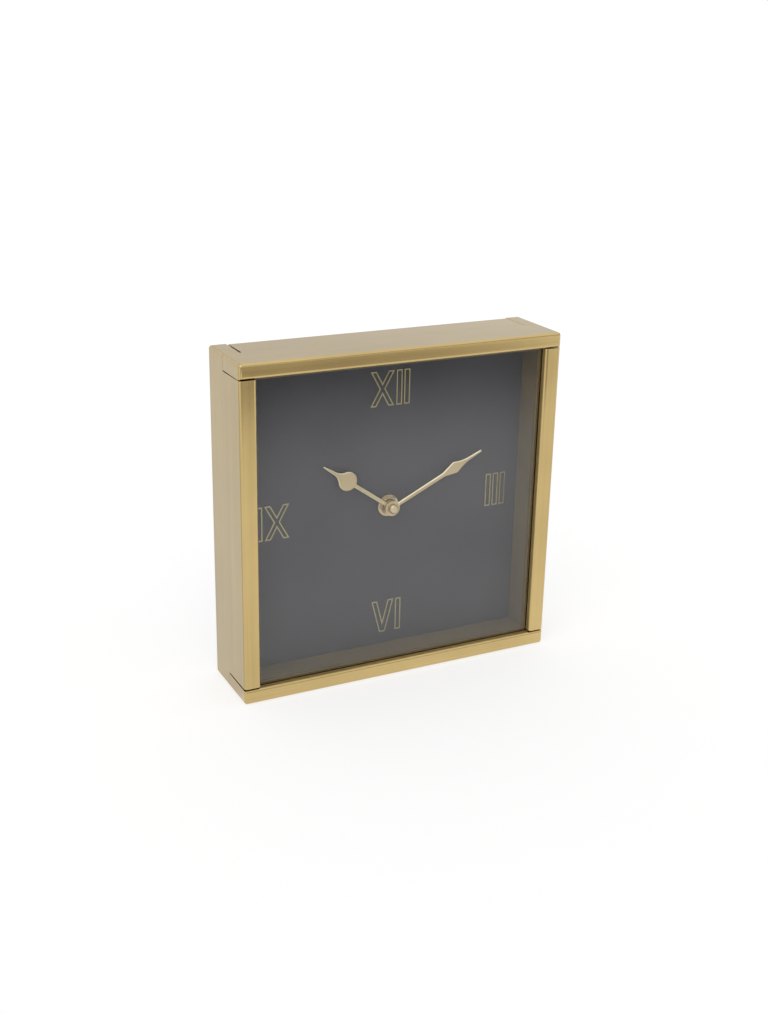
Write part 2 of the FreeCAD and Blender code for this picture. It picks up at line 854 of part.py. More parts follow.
def fixing_nut():
    blank = doc.addObject("Part::Prism", "nut_blank")
    blank.Polygon = NUT_SIDES
    blank.Placement = FreeCAD.Placement(FreeCAD.Vector(), ALONG["Y"])
    bind(blank, "Circumradius", "nut_radius")
    bind(blank, "Height", "nut_thickness")
    place(blank, "0", "nut_front", "centre_height")
    hole = rod("nut_hole", "bush_radius + fit_play", ("nut_front - overrun", "washer_front + overrun"))
    crown = doc.addObject("Part::Cone", "nut_crown")
    crown.Placement = blank.Placement
    bind(crown, "Radius1", "nut_radius - nut_crown")
    bind(crown, "Radius2", f"nut_radius - nut_crown + nut_thickness / tan({CROWN_ANGLE} deg)")
    bind(crown, "Height", "nut_thickness")
    place(crown, "0", "nut_front", "centre_height")
    trimmed = doc.addObject("Part::Common", "nut_trimmed")
    trimmed.Base = blank
    trimmed.Tool = crown
    piece("fixing_nut", cut("nut", trimmed, hole))


# Hands

def hand(name, angle, corners, rounds, hub_back, hub_radius, pipe_radius):
    """Make a flat hand with a thicker hub, turned clockwise from twelve."""
    body = doc.addObject("PartDesign::Body", name)
    blade_back = f"{hub_back} - (hub_thickness - hand_thickness) / 2"
    blade = start_sketch(body, "XZ_Plane", f"-({blade_back})")
    outline(blade, corners, rounds)
    pad(body, blade, "hand_thickness")
    hub = start_sketch(body, "XZ_Plane", f"-({hub_back})")
    circle(hub, "0", "0", hub_radius)
    pad(body, hub, "hub_thickness")
    bore = start_sketch(body, "XZ_Plane", f"-({hub_back} - hub_thickness)")
    circle(bore, "0", "0", f"{pipe_radius} + press_play")
    pocket(body, bore, "hub_thickness")
    body.Placement = FreeCAD.Placement(FreeCAD.Vector(), FreeCAD.Rotation(Y_AXIS, angle))
    place(body, "0", "0", "centre_height")
    piece(name, body)


def mirrored(right_side):
    """Close an outline by its mirror image across the hand's middle line."""
    return right_side + [(f"-({x})", y) for x, y in reversed(right_side)]


def hour_hand():
    """A stem, a round bulb and an ogee that runs out in a spike."""
    half_stem = "hour_stem_width / 2"
    half_spike = "spike_width / 2"
    right_side = [
        (half_stem, "sqrt(hour_hub_radius^2 - hour_stem_width^2 / 4)"),
        (half_stem, "bulb_reach - sqrt(bulb_radius^2 - hour_stem_width^2 / 4)"),
        (f"(ogee_radius + {half_spike}) * ogee_share",
         "bulb_reach + (spike_reach - bulb_reach) * ogee_share"),
        (half_spike, "spike_reach"),
        ("tip_width / 2", "hour_length"),
    ]
    bulb = ("0", "bulb_reach", "bulb_radius", 1)
    ogee_x = f"ogee_radius + {half_spike}"
    rounds = {
        1: bulb,
        2: (ogee_x, "spike_reach", "ogee_radius", -1),
        6: (f"-({ogee_x})", "spike_reach", "ogee_radius", -1),
        7: bulb,
        2 * len(right_side) - 1: ("0", "0", "hour_hub_radius", 1),
    }
    hand("hour_hand", HOUR_ANGLE, mirrored(right_side), rounds,
         "hour_hub_back", "hour_hub_radius", "hour_pipe_radius")


def minute_hand():
    """A stem, a long kite with hollow flanks and a spike."""
    half_stem = "minute_stem_width / 2"
    flank_x = "spike_width / 2 + kite_flank_radius"
    right_side = [
        (half_stem, "sqrt(minute_hub_radius^2 - minute_stem_width^2 / 4)"),
        (half_stem, "kite_start"),
        ("kite_width / 2", "kite_middle"),
        ("spike_width / 2", "kite_end"),
        ("tip_width / 2", "minute_length"),
    ]
    rounds = {
        2: (flank_x, "kite_end", "kite_flank_radius", -1),
        6: (f"-({flank_x})", "kite_end", "kite_flank_radius", -1),
        2 * len(right_side) - 1: ("0", "0", "minute_hub_radius", 1),
    }
    hand("minute_hand", MINUTE_ANGLE, mirrored(right_side), rounds,
         "minute_hub_back", "minute_hub_radius", "minute_pipe_radius")


def hand_nut():
    """A round cap nut, turned with a chamfered crown and a blind bore."""
    body = doc.addObject("PartDesign::Body", "hand_nut")
    sketch = start_sketch(body, "XY_Plane", "0")
    crown = "minute_hub_front - hand_nut_height"
    bore = "minute_pipe_radius + fit_play"
    floor = "pipe_end - fit_play"
    outline(sketch, [
        ("0", crown), ("hand_nut_radius - hand_nut_crown", crown),
        ("hand_nut_radius", f"{crown} + hand_nut_crown"), ("hand_nut_radius", "minute_hub_front"),
        (bore, "minute_hub_front"), (bore, floor), ("0", floor),
    ])
    turn = body.newObject("PartDesign::Revolution", "hand_nut_turn")
    turn.Profile = sketch
    turn.ReferenceAxis = (sketch, ["V_Axis"])
    place(body, "0", "0", "centre_height")
    piece("hand_nut", body)


# Movement box

def bearing(name, at, wall, sign, radius="arbor_radius"):
    """Make the tool for a blind bearing hole in a wall, in front of it or behind it."""
    depth = f"{sign} * (pivot_length + pivot_end_play)"
    ends = (f"{wall} + {depth}", f"{wall} - {sign} * overrun")
    return rod(name, f"{radius} + fit_play", ends if sign < 0 else ends[::-1], "Y", at)


def post(at, top, thickness):
    """A post on the front wall with a pin through the plate that it carries."""
    return (
        rod("post", "post_radius", ("movement_front + movement_wall / 2", top), "Y", at),
        rod("post_pin", "pin_radius", (top, f"{top} + {thickness} + fit_play"), "Y", at),
    )


STATOR_POSTS = (
    ("rotor_x - post_reach", "post_z"),
    ("rotor_x + post_reach", "post_z"),
)
BOARD_POSTS = (
    ("board_left + board_inset", "board_low + board_height - board_inset"),
    ("board_left + board_width - board_inset", "board_low + board_inset"),
)


def movement_case():
    blank = box(
        "case_blank", about("0", "movement_x"), ("movement_front", "movement_back"),
        ("movement_low", "movement_high"))
    inside = ("room_front", "movement_back + overrun")
    room = box("room", about("0", "room_x"), inside, ("room_low", "room_high"))
    bay = box("bay", about("0", "room_x"), inside, ("bay_low", "bay_high"))
    lid_seat = box(
        "lid_seat", about("0", "movement_x + overrun"),
        ("room_back", "movement_back + overrun"), ("lid_low", "movement_high + overrun"))
    shell = cut("case_shell", blank, room, bay, lid_seat)
    bush = rod("bush", "bush_radius", ("bush_end", "room_front"))
    posts = []
    for at in STATOR_POSTS:
        posts.extend(post(at, "stator_front", "stator_thickness"))
    for at in BOARD_POSTS:
        posts.extend(post(at, "board_front", "board_thickness"))
    bore = rod(
        "bush_bore", "hour_pipe_radius + fit_play", ("bush_end - overrun", "room_front + overrun"))
    holes = [
        bearing("third_hole", THIRD_AXIS, "room_front", -1),
        bearing("intermediate_hole", INTERMEDIATE_AXIS, "room_front", -1),
        bearing("rotor_hole", ROTOR_AXIS, "room_front", -1),
        bearing("minute_hole", MINUTE_AXIS, "room_front", -1, "stem_radius"),
    ]
    piece("movement_case", cut("case_box", fuse("case_solid", shell, bush, *posts), bore, *holes))


def movement_cover():
    plate = box(
        "lid_blank", about("0", "movement_x"), ("room_back", "movement_back"),
        ("lid_low + lid_play", "movement_high"))
    holes = [
        bearing("seconds_hole", CENTRE, "room_back", 1),
        bearing("third_hole", THIRD_AXIS, "room_back", 1),
        bearing("intermediate_hole", INTERMEDIATE_AXIS, "room_back", 1),
        bearing("rotor_hole", ROTOR_AXIS, "room_back", 1),
    ]
    stem_hole = rod(
        "stem_hole", "stem_radius + fit_play", ("room_back - overrun", "movement_back + overrun"),
        "Y", MINUTE_AXIS)
    piece("movement_cover", cut("lid", plate, stem_hole, *holes))


# Wheels

def pinion_ends(index):
    """A pinion spans the layer that it meshes in and reaches back to its own wheel."""
    return (f"{layer(index)} - pinion_overhang", layer(index + 1))


def wheel_ends(index):
    return (layer(index), f"{layer(index)} + wheel_thickness")


ARBOR_ENDS = ("room_front - pivot_length", "room_back + pivot_length")


def hour_wheel():
    phase = meshing(MINUTE_BEARING + 180, TEETH["minute_pinion"], TEETH["hour_wheel"])
    wheel = toothed(
        "hour_teeth", TEETH["hour_wheel"], "hour_module", wheel_ends(0), CENTRE, phase)
    pipe = rod("hour_pipe", "hour_pipe_radius", ("hour_hub_front", wheel_ends(0)[1]))
    bore = rod(
        "hour_bore", "minute_pipe_radius + fit_play",
        ("hour_hub_front - overrun", f"{wheel_ends(0)[1]} + overrun"))
    piece("hour_wheel", cut("hour", fuse("hour_solid", wheel, pipe), bore))


def minute_wheel():
    phase = meshing(MINUTE_BEARING, TEETH["cannon"], TEETH["minute_wheel"])
    wheel = toothed(
        "minute_teeth", TEETH["minute_wheel"], "motion_module", wheel_ends(1), MINUTE_AXIS, phase)
    pinion = toothed(
        "minute_pinion", TEETH["minute_pinion"], "hour_module", pinion_ends(0), MINUTE_AXIS)
    stem = rod(
        "set_stem", "stem_radius", (ARBOR_ENDS[0], "knob_back - stem_recess"), "Y", MINUTE_AXIS)
    piece("minute_wheel", fuse("minute_solid", wheel, pinion, stem))


def centre_wheel():
    wheel = toothed(
        "centre_teeth", TEETH["centre_wheel"], "train_module", wheel_ends(2), CENTRE)
    cannon = toothed(
        "cannon_teeth", TEETH["cannon"], "motion_module", pinion_ends(1), CENTRE)
    pipe = rod("minute_pipe", "minute_pipe_radius", ("pipe_end", wheel_ends(2)[1]))
    bore = rod(
        "minute_bore", "arbor_radius + fit_play",
        ("pipe_end - overrun", f"{wheel_ends(2)[1]} + overrun"))
    piece("centre_wheel", cut("centre", fuse("centre_solid", wheel, cannon, pipe), bore))


def seconds_wheel():
    phase = meshing(THIRD_BEARING + 180, TEETH["third_wheel"], TEETH["seconds_pinion"])
    wheel = toothed(
        "seconds_teeth", TEETH["seconds_wheel"], "seconds_module", wheel_ends(4), CENTRE)
    pinion = toothed(
        "seconds_pinion", TEETH["seconds_pinion"], "third_module", pinion_ends(3), CENTRE, phase)
    arbor = rod("seconds_arbor", "arbor_radius", ("pipe_end", ARBOR_ENDS[1]))
    piece("seconds_wheel", fuse("seconds_solid", wheel, pinion, arbor))


def train_wheel(name, teeth, module, index, pinion_teeth, pinion_module, phase, at):
    """A wheel, the pinion in front of it and the arbor through both."""
    wheel = toothed("wheel_teeth", teeth, module, wheel_ends(index), at)
    pinion = toothed("pinion_teeth", pinion_teeth, pinion_module, pinion_ends(index - 1), at, phase)
    arbor = rod("arbor", "arbor_radius", ARBOR_ENDS, "Y", at)
    piece(name, fuse("train_solid", wheel, pinion, arbor))


def rotor():
    phase = meshing(ROTOR_BEARING, TEETH["intermediate_wheel"], TEETH["rotor_pinion"])
    front, _ = pinion_ends(5)
    magnet_ends = ("stator_front - magnet_overhang", "stator_back + magnet_overhang")
    pinion = toothed(
        "rotor_teeth", TEETH["rotor_pinion"], "rotor_module", (front, magnet_ends[0]),
        ROTOR_AXIS, phase)
    magnet = rod("magnet", "magnet_radius", magnet_ends, "Y", ROTOR_AXIS)
    arbor = rod("rotor_arbor", "arbor_radius", ARBOR_ENDS, "Y", ROTOR_AXIS)
    piece("rotor", fuse("rotor_solid", pinion, magnet, arbor))


def set_knob():
    """A fluted disc on the end of the setting stem."""
    x, z = MINUTE_AXIS
    ends = ("knob_front", "knob_back")
    past = ("knob_front - overrun", "knob_back + overrun")
    blank = rod("knob_blank", "knob_radius", ends, "Y", MINUTE_AXIS)
    bore = rod("knob_bore", "stem_radius + press_play", past, "Y", MINUTE_AXIS)
    flutes = []
    for index in range(KNOB_FLUTES):
        angle = 360 * index / KNOB_FLUTES
        rim = (f"{x} + knob_radius * cos({angle} deg)", f"{z} + knob_radius * sin({angle} deg)")
        flutes.append(rod("flute", "flute_radius", past, "Y", rim))
    piece("set_knob", cut("knob", blank, bore, *flutes))


# Motor and circuit

def stator():
    """A plate with two arms up to the coil's core and a hole round the magnet."""
    body = doc.addObject("PartDesign::Body", "stator")
    left, right = about("rotor_x", "stator_half_width")
    low, shoulder = about("rotor_z", "stator_half_height")
    top = "coil_z + core_height / 2"
    sketch = start_sketch(body, "XZ_Plane", "-(stator_front)")
    outline(sketch, [
        (left, low), (right, low), (right, top), (f"{right} - stator_arm_width", top),
        (f"{right} - stator_arm_width", shoulder), (f"{left} + stator_arm_width", shoulder),
        (f"{left} + stator_arm_width", top), (left, top),
    ])
    circle(sketch, "rotor_x", "rotor_z", "magnet_radius + air_gap")
    for x, z in STATOR_POSTS:
        circle(sketch, x, z, "pin_radius + fit_play")
    pad(body, sketch, "stator_thickness", towards_back=True)
    piece("stator", body)


def coil():
    """A bobbin with two flanges, wound between them, with a hole for the core."""
    at = ("coil_y", "coil_z")
    left, right = about("rotor_x", "coil_half_length")
    winding = rod("winding", "coil_radius", (left, right), "X", at)
    left_flange = rod("flange", "flange_radius", (left, f"{left} + flange_thickness"), "X", at)
    right_flange = rod("flange", "flange_radius", (f"{right} - flange_thickness", right), "X", at)
    hole = box(
        "core_hole", (f"{left} - overrun", f"{right} + overrun"),
        about("coil_y", "core_thickness / 2 + core_play"),
        about("coil_z", "core_height / 2 + core_play"))
    piece("coil", cut("bobbin", fuse("coil_solid", winding, left_flange, right_flange), hole))
    piece("coil_core", box(
        "core", about("rotor_x", "stator_half_width"), about("coil_y", "core_thickness / 2"),
        about("coil_z", "core_height / 2")))


def circuit():
    board = box(
        "board_blank", ("board_left", "board_left + board_width"), ("board_front", "board_back"),
        ("board_low", "board_low + board_height"))
    holes = [
        rod("board_hole", "pin_radius + fit_play", ("board_front - overrun", "board_back + overrun"),
            "Y", at)
        for at in BOARD_POSTS
    ]
    piece("circuit_board", cut("board", board, *holes))
    piece("control_chip", box(
        "chip", about("board_left + board_width / 2", "chip_side / 2"),
        ("board_back", "board_back + chip_height"),
        about("board_low + board_height / 2", "chip_side / 2")))
    crystal_top = "board_low + board_height - board_inset"
    piece("quartz_crystal", rod(
        "crystal", "crystal_radius", (f"{crystal_top} - crystal_length", crystal_top), "Z",
        ("board_left + board_width - board_inset", "board_back + crystal_radius + crystal_play")))


# Battery and contacts

def battery():
    at = ("battery_y", "battery_z")
    can = rod("can", "battery_radius", ("battery_left", "battery_right"), "X", at)
    terminal = rod(
        "terminal", "terminal_radius", ("battery_right", "battery_right + terminal_length"), "X", at)
    piece("battery", fuse("cell", can, terminal))


def positive_contact():
    piece("positive_contact", box(
        "plus_plate", ("room_x - contact_thickness", "room_x"),
        about("battery_y", "contact_span / 2"), about("battery_z", "contact_span / 2")))


def negative_contact():
    """A folded leaf that stands off the bay's wall and presses on the battery's end."""
    body = doc.addObject("PartDesign::Body", "negative_contact")
    wall = "-(room_x)"
    tip = "battery_left - contact_play"
    near, far = about("battery_y", "contact_span / 2")
    inner_near, inner_far = about("battery_y", "contact_span / 2 - leaf_foot")
    sketch = start_sketch(body, "XY_Plane", "battery_z - contact_span / 2")
    outline(sketch, [
        (wall, near), (f"{wall} + contact_thickness", near), (tip, "battery_y"),
        (f"{wall} + contact_thickness", far), (wall, far),
    ])
    outline(sketch, [
        (f"{wall} + contact_thickness", inner_near), (f"{tip} - contact_thickness", "battery_y"),
        (f"{wall} + contact_thickness", inner_far),
    ])
    pad(body, sketch, "contact_span")
    piece("negative_contact", body)


rail("top_bar", "case_height - rail_thickness", "case_height - rail_thickness", "case_height", True)
rail("bottom_bar", "0", "rail_thickness", "0", False)
side_bar("left_bar", "-case_width / 2", "-(inner_x)", False)
side_bar("right_bar", "inner_x", "inner_x", True)
glass()
spacers()
dial_board()
dial_numerals()
corner_blocks()
corner_screws()
back_cover()
back_cover_screws()
ring("rubber_washer", "rubber_radius", ("dial_back", "movement_front"), "bush_radius + bush_play")
ring("brass_washer", "washer_radius", ("washer_front", "dial_face"), "bush_radius + bush_play")
fixing_nut()
hour_hand()
minute_hand()
hand_nut()
movement_case()
movement_cover()
hour_wheel()
minute_wheel()
centre_wheel()
seconds_wheel()
train_wheel(
    "third_wheel", TEETH["third_wheel"], "third_module", 3, TEETH["third_pinion"], "train_module",
    meshing(THIRD_BEARING, TEETH["centre_wheel"], TEETH["third_pinion"]), THIRD_AXIS)
train_wheel(
    "intermediate_wheel", TEETH["intermediate_wheel"], "rotor_module", 5,
    TEETH["intermediate_pinion"], "seconds_module",
    meshing(INTERMEDIATE_BEARING, TEETH["seconds_wheel"], TEETH["intermediate_pinion"]),
    INTERMEDIATE_AXIS)
rotor()
set_knob()
stator()
coil()
circuit()
battery()
positive_contact()
negative_contact()
doc.recompute()

for member in doc.Objects:
    if {"Invalid", "Error"} & set(member.State):
        raise RuntimeError(f"{member.Label} failed to compute")
for member in pieces:
    if member.Shape.isNull() or not member.Shape.isValid():
        raise RuntimeError(f"{member.Label} has no valid shape")

os.makedirs("parts", exist_ok=True)
for member in pieces:
    member.Shape.exportStep(f"parts/{member.Label}.step")
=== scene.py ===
import json
import math

import bmesh
import bpy
from mathutils import Matrix, Vector


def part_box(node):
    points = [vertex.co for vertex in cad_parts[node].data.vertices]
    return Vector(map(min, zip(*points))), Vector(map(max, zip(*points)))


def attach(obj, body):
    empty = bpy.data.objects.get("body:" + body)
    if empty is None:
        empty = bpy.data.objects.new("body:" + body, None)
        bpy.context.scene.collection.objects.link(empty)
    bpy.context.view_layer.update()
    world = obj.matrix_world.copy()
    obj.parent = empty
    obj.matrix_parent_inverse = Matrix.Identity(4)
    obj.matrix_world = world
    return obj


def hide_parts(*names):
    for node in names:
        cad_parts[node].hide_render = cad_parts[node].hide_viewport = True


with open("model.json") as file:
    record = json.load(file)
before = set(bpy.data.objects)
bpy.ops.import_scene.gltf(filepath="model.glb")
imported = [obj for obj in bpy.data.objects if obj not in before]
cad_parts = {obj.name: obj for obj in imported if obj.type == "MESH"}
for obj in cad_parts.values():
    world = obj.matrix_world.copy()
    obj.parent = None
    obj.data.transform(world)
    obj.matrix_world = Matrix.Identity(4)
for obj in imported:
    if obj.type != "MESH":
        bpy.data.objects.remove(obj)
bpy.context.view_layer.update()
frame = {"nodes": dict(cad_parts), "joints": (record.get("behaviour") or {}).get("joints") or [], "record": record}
nodes = frame["nodes"]
slot_of = {part["node"]: part["material_slot"] for part in frame["record"]["subparts"]}
body_of = {node: body for body, members in frame["record"]["behaviour"]["bodies"].items()
           for node in members}
joint_place = {joint["name"]: joint.get("pos_m") for joint in frame["joints"]}

# All lengths are in metres
MM = 0.001
EVEN = (1, 1, 1)
ACROSS, TO_BACK, UPWARD = Vector((1, 0, 0)), Vector((0, 1, 0)), Vector((0, 0, 1))


# Node trees

def put(tree, kind, inputs=None, **settings):
    """Add a node; inputs gives each socket a value or links it to another node's output."""
    node = tree.nodes.new(kind)
    for name, value in settings.items():
        setattr(node, name, value)
    for name, value in (inputs or {}).items():
        if isinstance(value, bpy.types.NodeSocket):
            tree.links.new(value, node.inputs[name])
        else:
            node.inputs[name].default_value = value
    return node


def calculate(tree, operation, first, second):
    return put(tree, "ShaderNodeMath", {0: first, 1: second}, operation=operation).outputs[0]


def grey(level):
    return (level, level, level, 1)


def mix(tree, factor, first, second):
    """Go from one value to another as the factor goes from 0 to 1."""
    return put(tree, "ShaderNodeMix", {0: factor, 2: first, 3: second}).outputs[0]


def blend(tree, factor, first, second):
    """Go from one colour to another as the factor goes from 0 to 1."""
    node = put(tree, "ShaderNodeMix", {0: factor, 6: first, 7: second}, data_type="RGBA")
    return node.outputs[2]


def join(tree, factor, first, second):
    """Go from one shader to another as the factor goes from 0 to 1."""
    return put(tree, "ShaderNodeMixShader", {0: factor, 1: first, 2: second}).outputs["Shader"]


def ramp(tree, factor, stops, interpolation="LINEAR"):
    """Turn a value into a colour that runs through (place, colour) stops."""
    node = put(tree, "ShaderNodeValToRGB", {"Fac": factor})
    node.color_ramp.interpolation = interpolation
    elements = node.color_ramp.elements
    while len(elements) < len(stops):
        elements.new(0.5)
    for element, (place, colour) in zip(elements, stops):
        element.position = place
        element.color = (*colour, 1)
    return node.outputs["Color"]


def between(tree, value, low, high):
    """Turn a value from 0 to 1 into one from low to high."""
    node = put(tree, "ShaderNodeMapRange", {"Value": value, "To Min": low, "To Max": high})
    return node.outputs["Result"]


def rise(tree, value, start, end):
    """Rise softly from 0 to 1 while a value goes from start to end."""
    node = put(tree, "ShaderNodeMapRange", {"Value": value, "From Min": start, "From Max": end},
               interpolation_type="SMOOTHSTEP")
    return node.outputs["Result"]


def stretched(tree, scale):
    """Give Object coordinates, drawn out by a scale for each axis."""
    coordinates = put(tree, "ShaderNodeTexCoord").outputs["Object"]
    return put(tree, "ShaderNodeMapping", {"Vector": coordinates, "Scale": scale}).outputs["Vector"]


def axis_of(tree, axis, output="Object"):
    """Give one axis of the Object coordinates, or of another kind."""
    coordinates = put(tree, "ShaderNodeTexCoord").outputs[output]
    return put(tree, "ShaderNodeSeparateXYZ", {"Vector": coordinates}).outputs[axis]


# Effects that several finishes share

def start_group(name, inputs, output):
    tree = bpy.data.node_groups.new(name, "ShaderNodeTree")
    for label, kind, value in inputs:
        socket = tree.interface.new_socket(label, in_out="INPUT", socket_type=kind)
        if value is not None:
            socket.default_value = value
    tree.interface.new_socket(output, in_out="OUTPUT", socket_type="NodeSocketFloat")
    return tree, tree.nodes.new("NodeGroupInput"), tree.nodes.new("NodeGroupOutput")


def brushing_group():
    """Fine scratches with broader ones among them, along the axis that the vector draws out."""
    tree, given, result = start_group(
        "brushing",
        [("Vector", "NodeSocketVector", None), ("Broad Share", "NodeSocketFloat", 0.4)],
        "Scratches")
    fine = put(tree, "ShaderNodeTexNoise", {
        "Vector": given.outputs["Vector"], "Scale": 1.0, "Detail": 3.0, "Roughness": 0.6})
    broad = put(tree, "ShaderNodeTexNoise", {
        "Vector": given.outputs["Vector"], "Scale": 0.22, "Detail": 2.0, "Roughness": 0.5})
    both = mix(tree, given.outputs["Broad Share"], fine.outputs["Fac"], broad.outputs["Fac"])
    tree.links.new(both, result.inputs["Scratches"])
    return tree


def cloud_group():
    """Soft patches, as in tarnish, dust or uneven paint."""
    tree, given, result = start_group(
        "clouds",
        [("Vector", "NodeSocketVector", None), ("Scale", "NodeSocketFloat", 20.0)],
        "Patches")
    noise = put(tree, "ShaderNodeTexNoise", {
        "Vector": given.outputs["Vector"], "Scale": given.outputs["Scale"], "Detail": 4.0,
        "Roughness": 0.55, "Distortion": 0.3})
    spread = put(tree, "ShaderNodeMapRange", {
        "Value": noise.outputs["Fac"], "From Min": 0.3, "From Max": 0.7})
    tree.links.new(spread.outputs["Result"], result.inputs["Patches"])
    return tree


def grain_group():
    """A fine moulded or painted grain."""
    tree, given, result = start_group(
        "grain",
        [("Vector", "NodeSocketVector", None), ("Scale", "NodeSocketFloat", 900.0)],
        "Grain")
    cells = put(tree, "ShaderNodeTexVoronoi", {
        "Vector": given.outputs["Vector"], "Scale": given.outputs["Scale"]}, feature="SMOOTH_F1")
    noise = put(tree, "ShaderNodeTexNoise", {
        "Vector": given.outputs["Vector"], "Scale": given.outputs["Scale"], "Detail": 3.0})
    both = calculate(tree, "ADD", cells.outputs["Distance"], noise.outputs["Fac"])
    tree.links.new(calculate(tree, "MULTIPLY", both, 0.6), result.inputs["Grain"])
    return tree


BRUSHING = brushing_group()
CLOUDS = cloud_group()
GRAIN = grain_group()


def start_material(name, **principled):
    """Make a material and set the values that are the same all over on its shader."""
    material = bpy.data.materials.new(name)
    material.use_nodes = True
    tree = material.node_tree
    shader = tree.nodes["Principled BSDF"]
    for socket, value in principled.items():
        shader.inputs[socket.replace("_", " ").title().replace("Ior", "IOR")].default_value = value
    return material, tree, shader


def effect(tree, group, **inputs):
    """Place a shared effect in a material with its own values."""
    sockets = {name.replace("_", " ").title(): value for name, value in inputs.items()}
    return put(tree, "ShaderNodeGroup", sockets, node_tree=group).outputs[0]


def feed(tree, shader, colour, roughness):
    """Give a shader a colour and a roughness that vary over the surface."""
    tree.links.new(colour, shader.inputs["Base Color"])
    tree.links.new(roughness, shader.inputs["Roughness"])


def raise_bump(tree, shader, height, strength, distance):
    """Add a bump, on top of one that the shader may have already."""
    bump = put(tree, "ShaderNodeBump", {
        "Height": height, "Strength": strength, "Distance": distance})
    normal = shader.inputs["Normal"]
    if normal.is_linked:
        tree.links.new(normal.links[0].from_socket, bump.inputs["Normal"])
    tree.links.new(bump.outputs["Normal"], normal)


# Finishes

def brushed_metal(name, scale, dark, light, smooth, rough, patch_scale=22.0, patch_share=0.5,
                  broad=0.4, **principled):
    """Metal brushed along the axis in which scale is small, with soft tarnish."""
    material, tree, shader = start_material(name, metallic=1.0, **principled)
    scratches = effect(tree, BRUSHING, vector=stretched(tree, scale), broad_share=broad)
    patches = effect(tree, CLOUDS, vector=stretched(tree, EVEN), scale=patch_scale)
    tone = mix(tree, patch_share, scratches, patches)
    colour = ramp(tree, tone, [(0.2, dark), (0.8, light)])
    feed(tree, shader, colour, between(tree, scratches, smooth, rough))
    raise_bump(tree, shader, scratches, strength=0.2, distance=0.05 * MM)
    return material


def case_brass(name, scale):
    """Lacquered brass, polished outside and left rougher on the faces inside the frame."""
    material = brushed_metal(
        name, scale, *BRASS, smooth=0.13, rough=0.25, patch_scale=14.0, patch_share=0.25,
        broad=0.55, coat_weight=0.5, coat_roughness=0.16)
    tree = material.node_tree
    shader = tree.nodes["Principled BSDF"]
    waves = effect(tree, CLOUDS, vector=stretched(tree, EVEN), scale=40.0)
    raise_bump(tree, shader, waves, strength=0.5, distance=0.08 * MM)
    edge, rough = 0.4 * MM, 0.6
    half_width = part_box("spacer_right")[1].x + edge
    bottom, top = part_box("spacer_bottom")[0].z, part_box("spacer_top")[1].z
    across = calculate(tree, "ABSOLUTE", axis_of(tree, "X"), 0)
    upward = calculate(tree, "SUBTRACT", axis_of(tree, "Z"), (bottom + top) / 2)
    upward = calculate(tree, "ABSOLUTE", upward, 0)
    inside = calculate(
        tree, "MULTIPLY", calculate(tree, "LESS_THAN", across, half_width),
        calculate(tree, "LESS_THAN", upward, (top - bottom) / 2 + edge))
    roughness = shader.inputs["Roughness"]
    polished = roughness.links[0].from_socket
    tree.links.new(mix(tree, inside, polished, rough), roughness)
    return material


def gilt_with_painted_edge_highlight():
    """Satin gilt for the hands, with a paler colour painted on their bevelled edges as a painted highlight."""
    material = brushed_metal("hand_gilt", SATIN, *HAND_GILT, 0.26, 0.38)
    tree = material.node_tree
    shader = tree.nodes["Principled BSDF"]
    normal = put(tree, "ShaderNodeNewGeometry").outputs["Normal"]
    facing = put(tree, "ShaderNodeSeparateXYZ", {"Vector": normal}).outputs["Y"]
    # The edges are really bevelled; faces tilted away from the front get a paler colour, a painted highlight, and
    # more roughness
    flat, tilted, cut_roughness = 0.97, 0.87, 0.5
    edge = rise(tree, calculate(tree, "ABSOLUTE", facing, 0), flat, tilted)
    satin = shader.inputs["Base Color"].links[0].from_socket
    satin_roughness = shader.inputs["Roughness"].links[0].from_socket
    feed(tree, shader, blend(tree, edge, satin, (*PAINTED_EDGE_HIGHLIGHT, 1)),
         mix(tree, edge, satin_roughness, cut_roughness))
    return material


def moulded_plastic(name, dark, light, grain_scale, smooth, rough):
    """Plastic, rubber or paint with a fine grain and soft patches."""
    material, tree, shader = start_material(name)
    vector = stretched(tree, EVEN)
    grain = effect(tree, GRAIN, vector=vector, scale=grain_scale)
    patches = effect(tree, CLOUDS, vector=vector, scale=60.0)
    colour = ramp(tree, patches, [(0, dark), (1, light)])
    feed(tree, shader, colour, between(tree, patches, smooth, rough))
    raise_bump(tree, shader, grain, strength=0.2, distance=0.05 * MM)
    return material


def clear_glass():
    """Float glass that lets the lamps' light through to the dial."""
    material, tree, shader = start_material(
        "clear_glass", base_color=(0.97, 0.97, 0.97, 1), roughness=0.0, ior=1.5,
        transmission_weight=1.0)
    light_path = put(tree, "ShaderNodeLightPath").outputs
    passing = calculate(tree, "MAXIMUM", light_path["Is Shadow Ray"], light_path["Is Diffuse Ray"])
    clear = put(tree, "ShaderNodeBsdfTransparent")
    surface = join(tree, passing, shader.outputs["BSDF"], clear.outputs["BSDF"])
    tree.links.new(surface, tree.nodes["Material Output"].inputs["Surface"])
    return material


def dial_paint():
    """Matt dark paint, a little uneven, over smooth board."""
    material, tree, shader = start_material("dial_paint", specular_ior_level=0.2)
    vector = stretched(tree, EVEN)
    patches = effect(tree, CLOUDS, vector=vector, scale=26.0)
    grain = effect(tree, GRAIN, vector=vector, scale=1800.0)
    dark, light = (0.048, 0.048, 0.054), (0.056, 0.056, 0.063)
    colour = ramp(tree, patches, [(0, dark), (1, light)])
    feed(tree, shader, colour, between(tree, grain, 0.55, 0.75))
    raise_bump(tree, shader, patches, strength=0.05, distance=0.1 * MM)
    return material


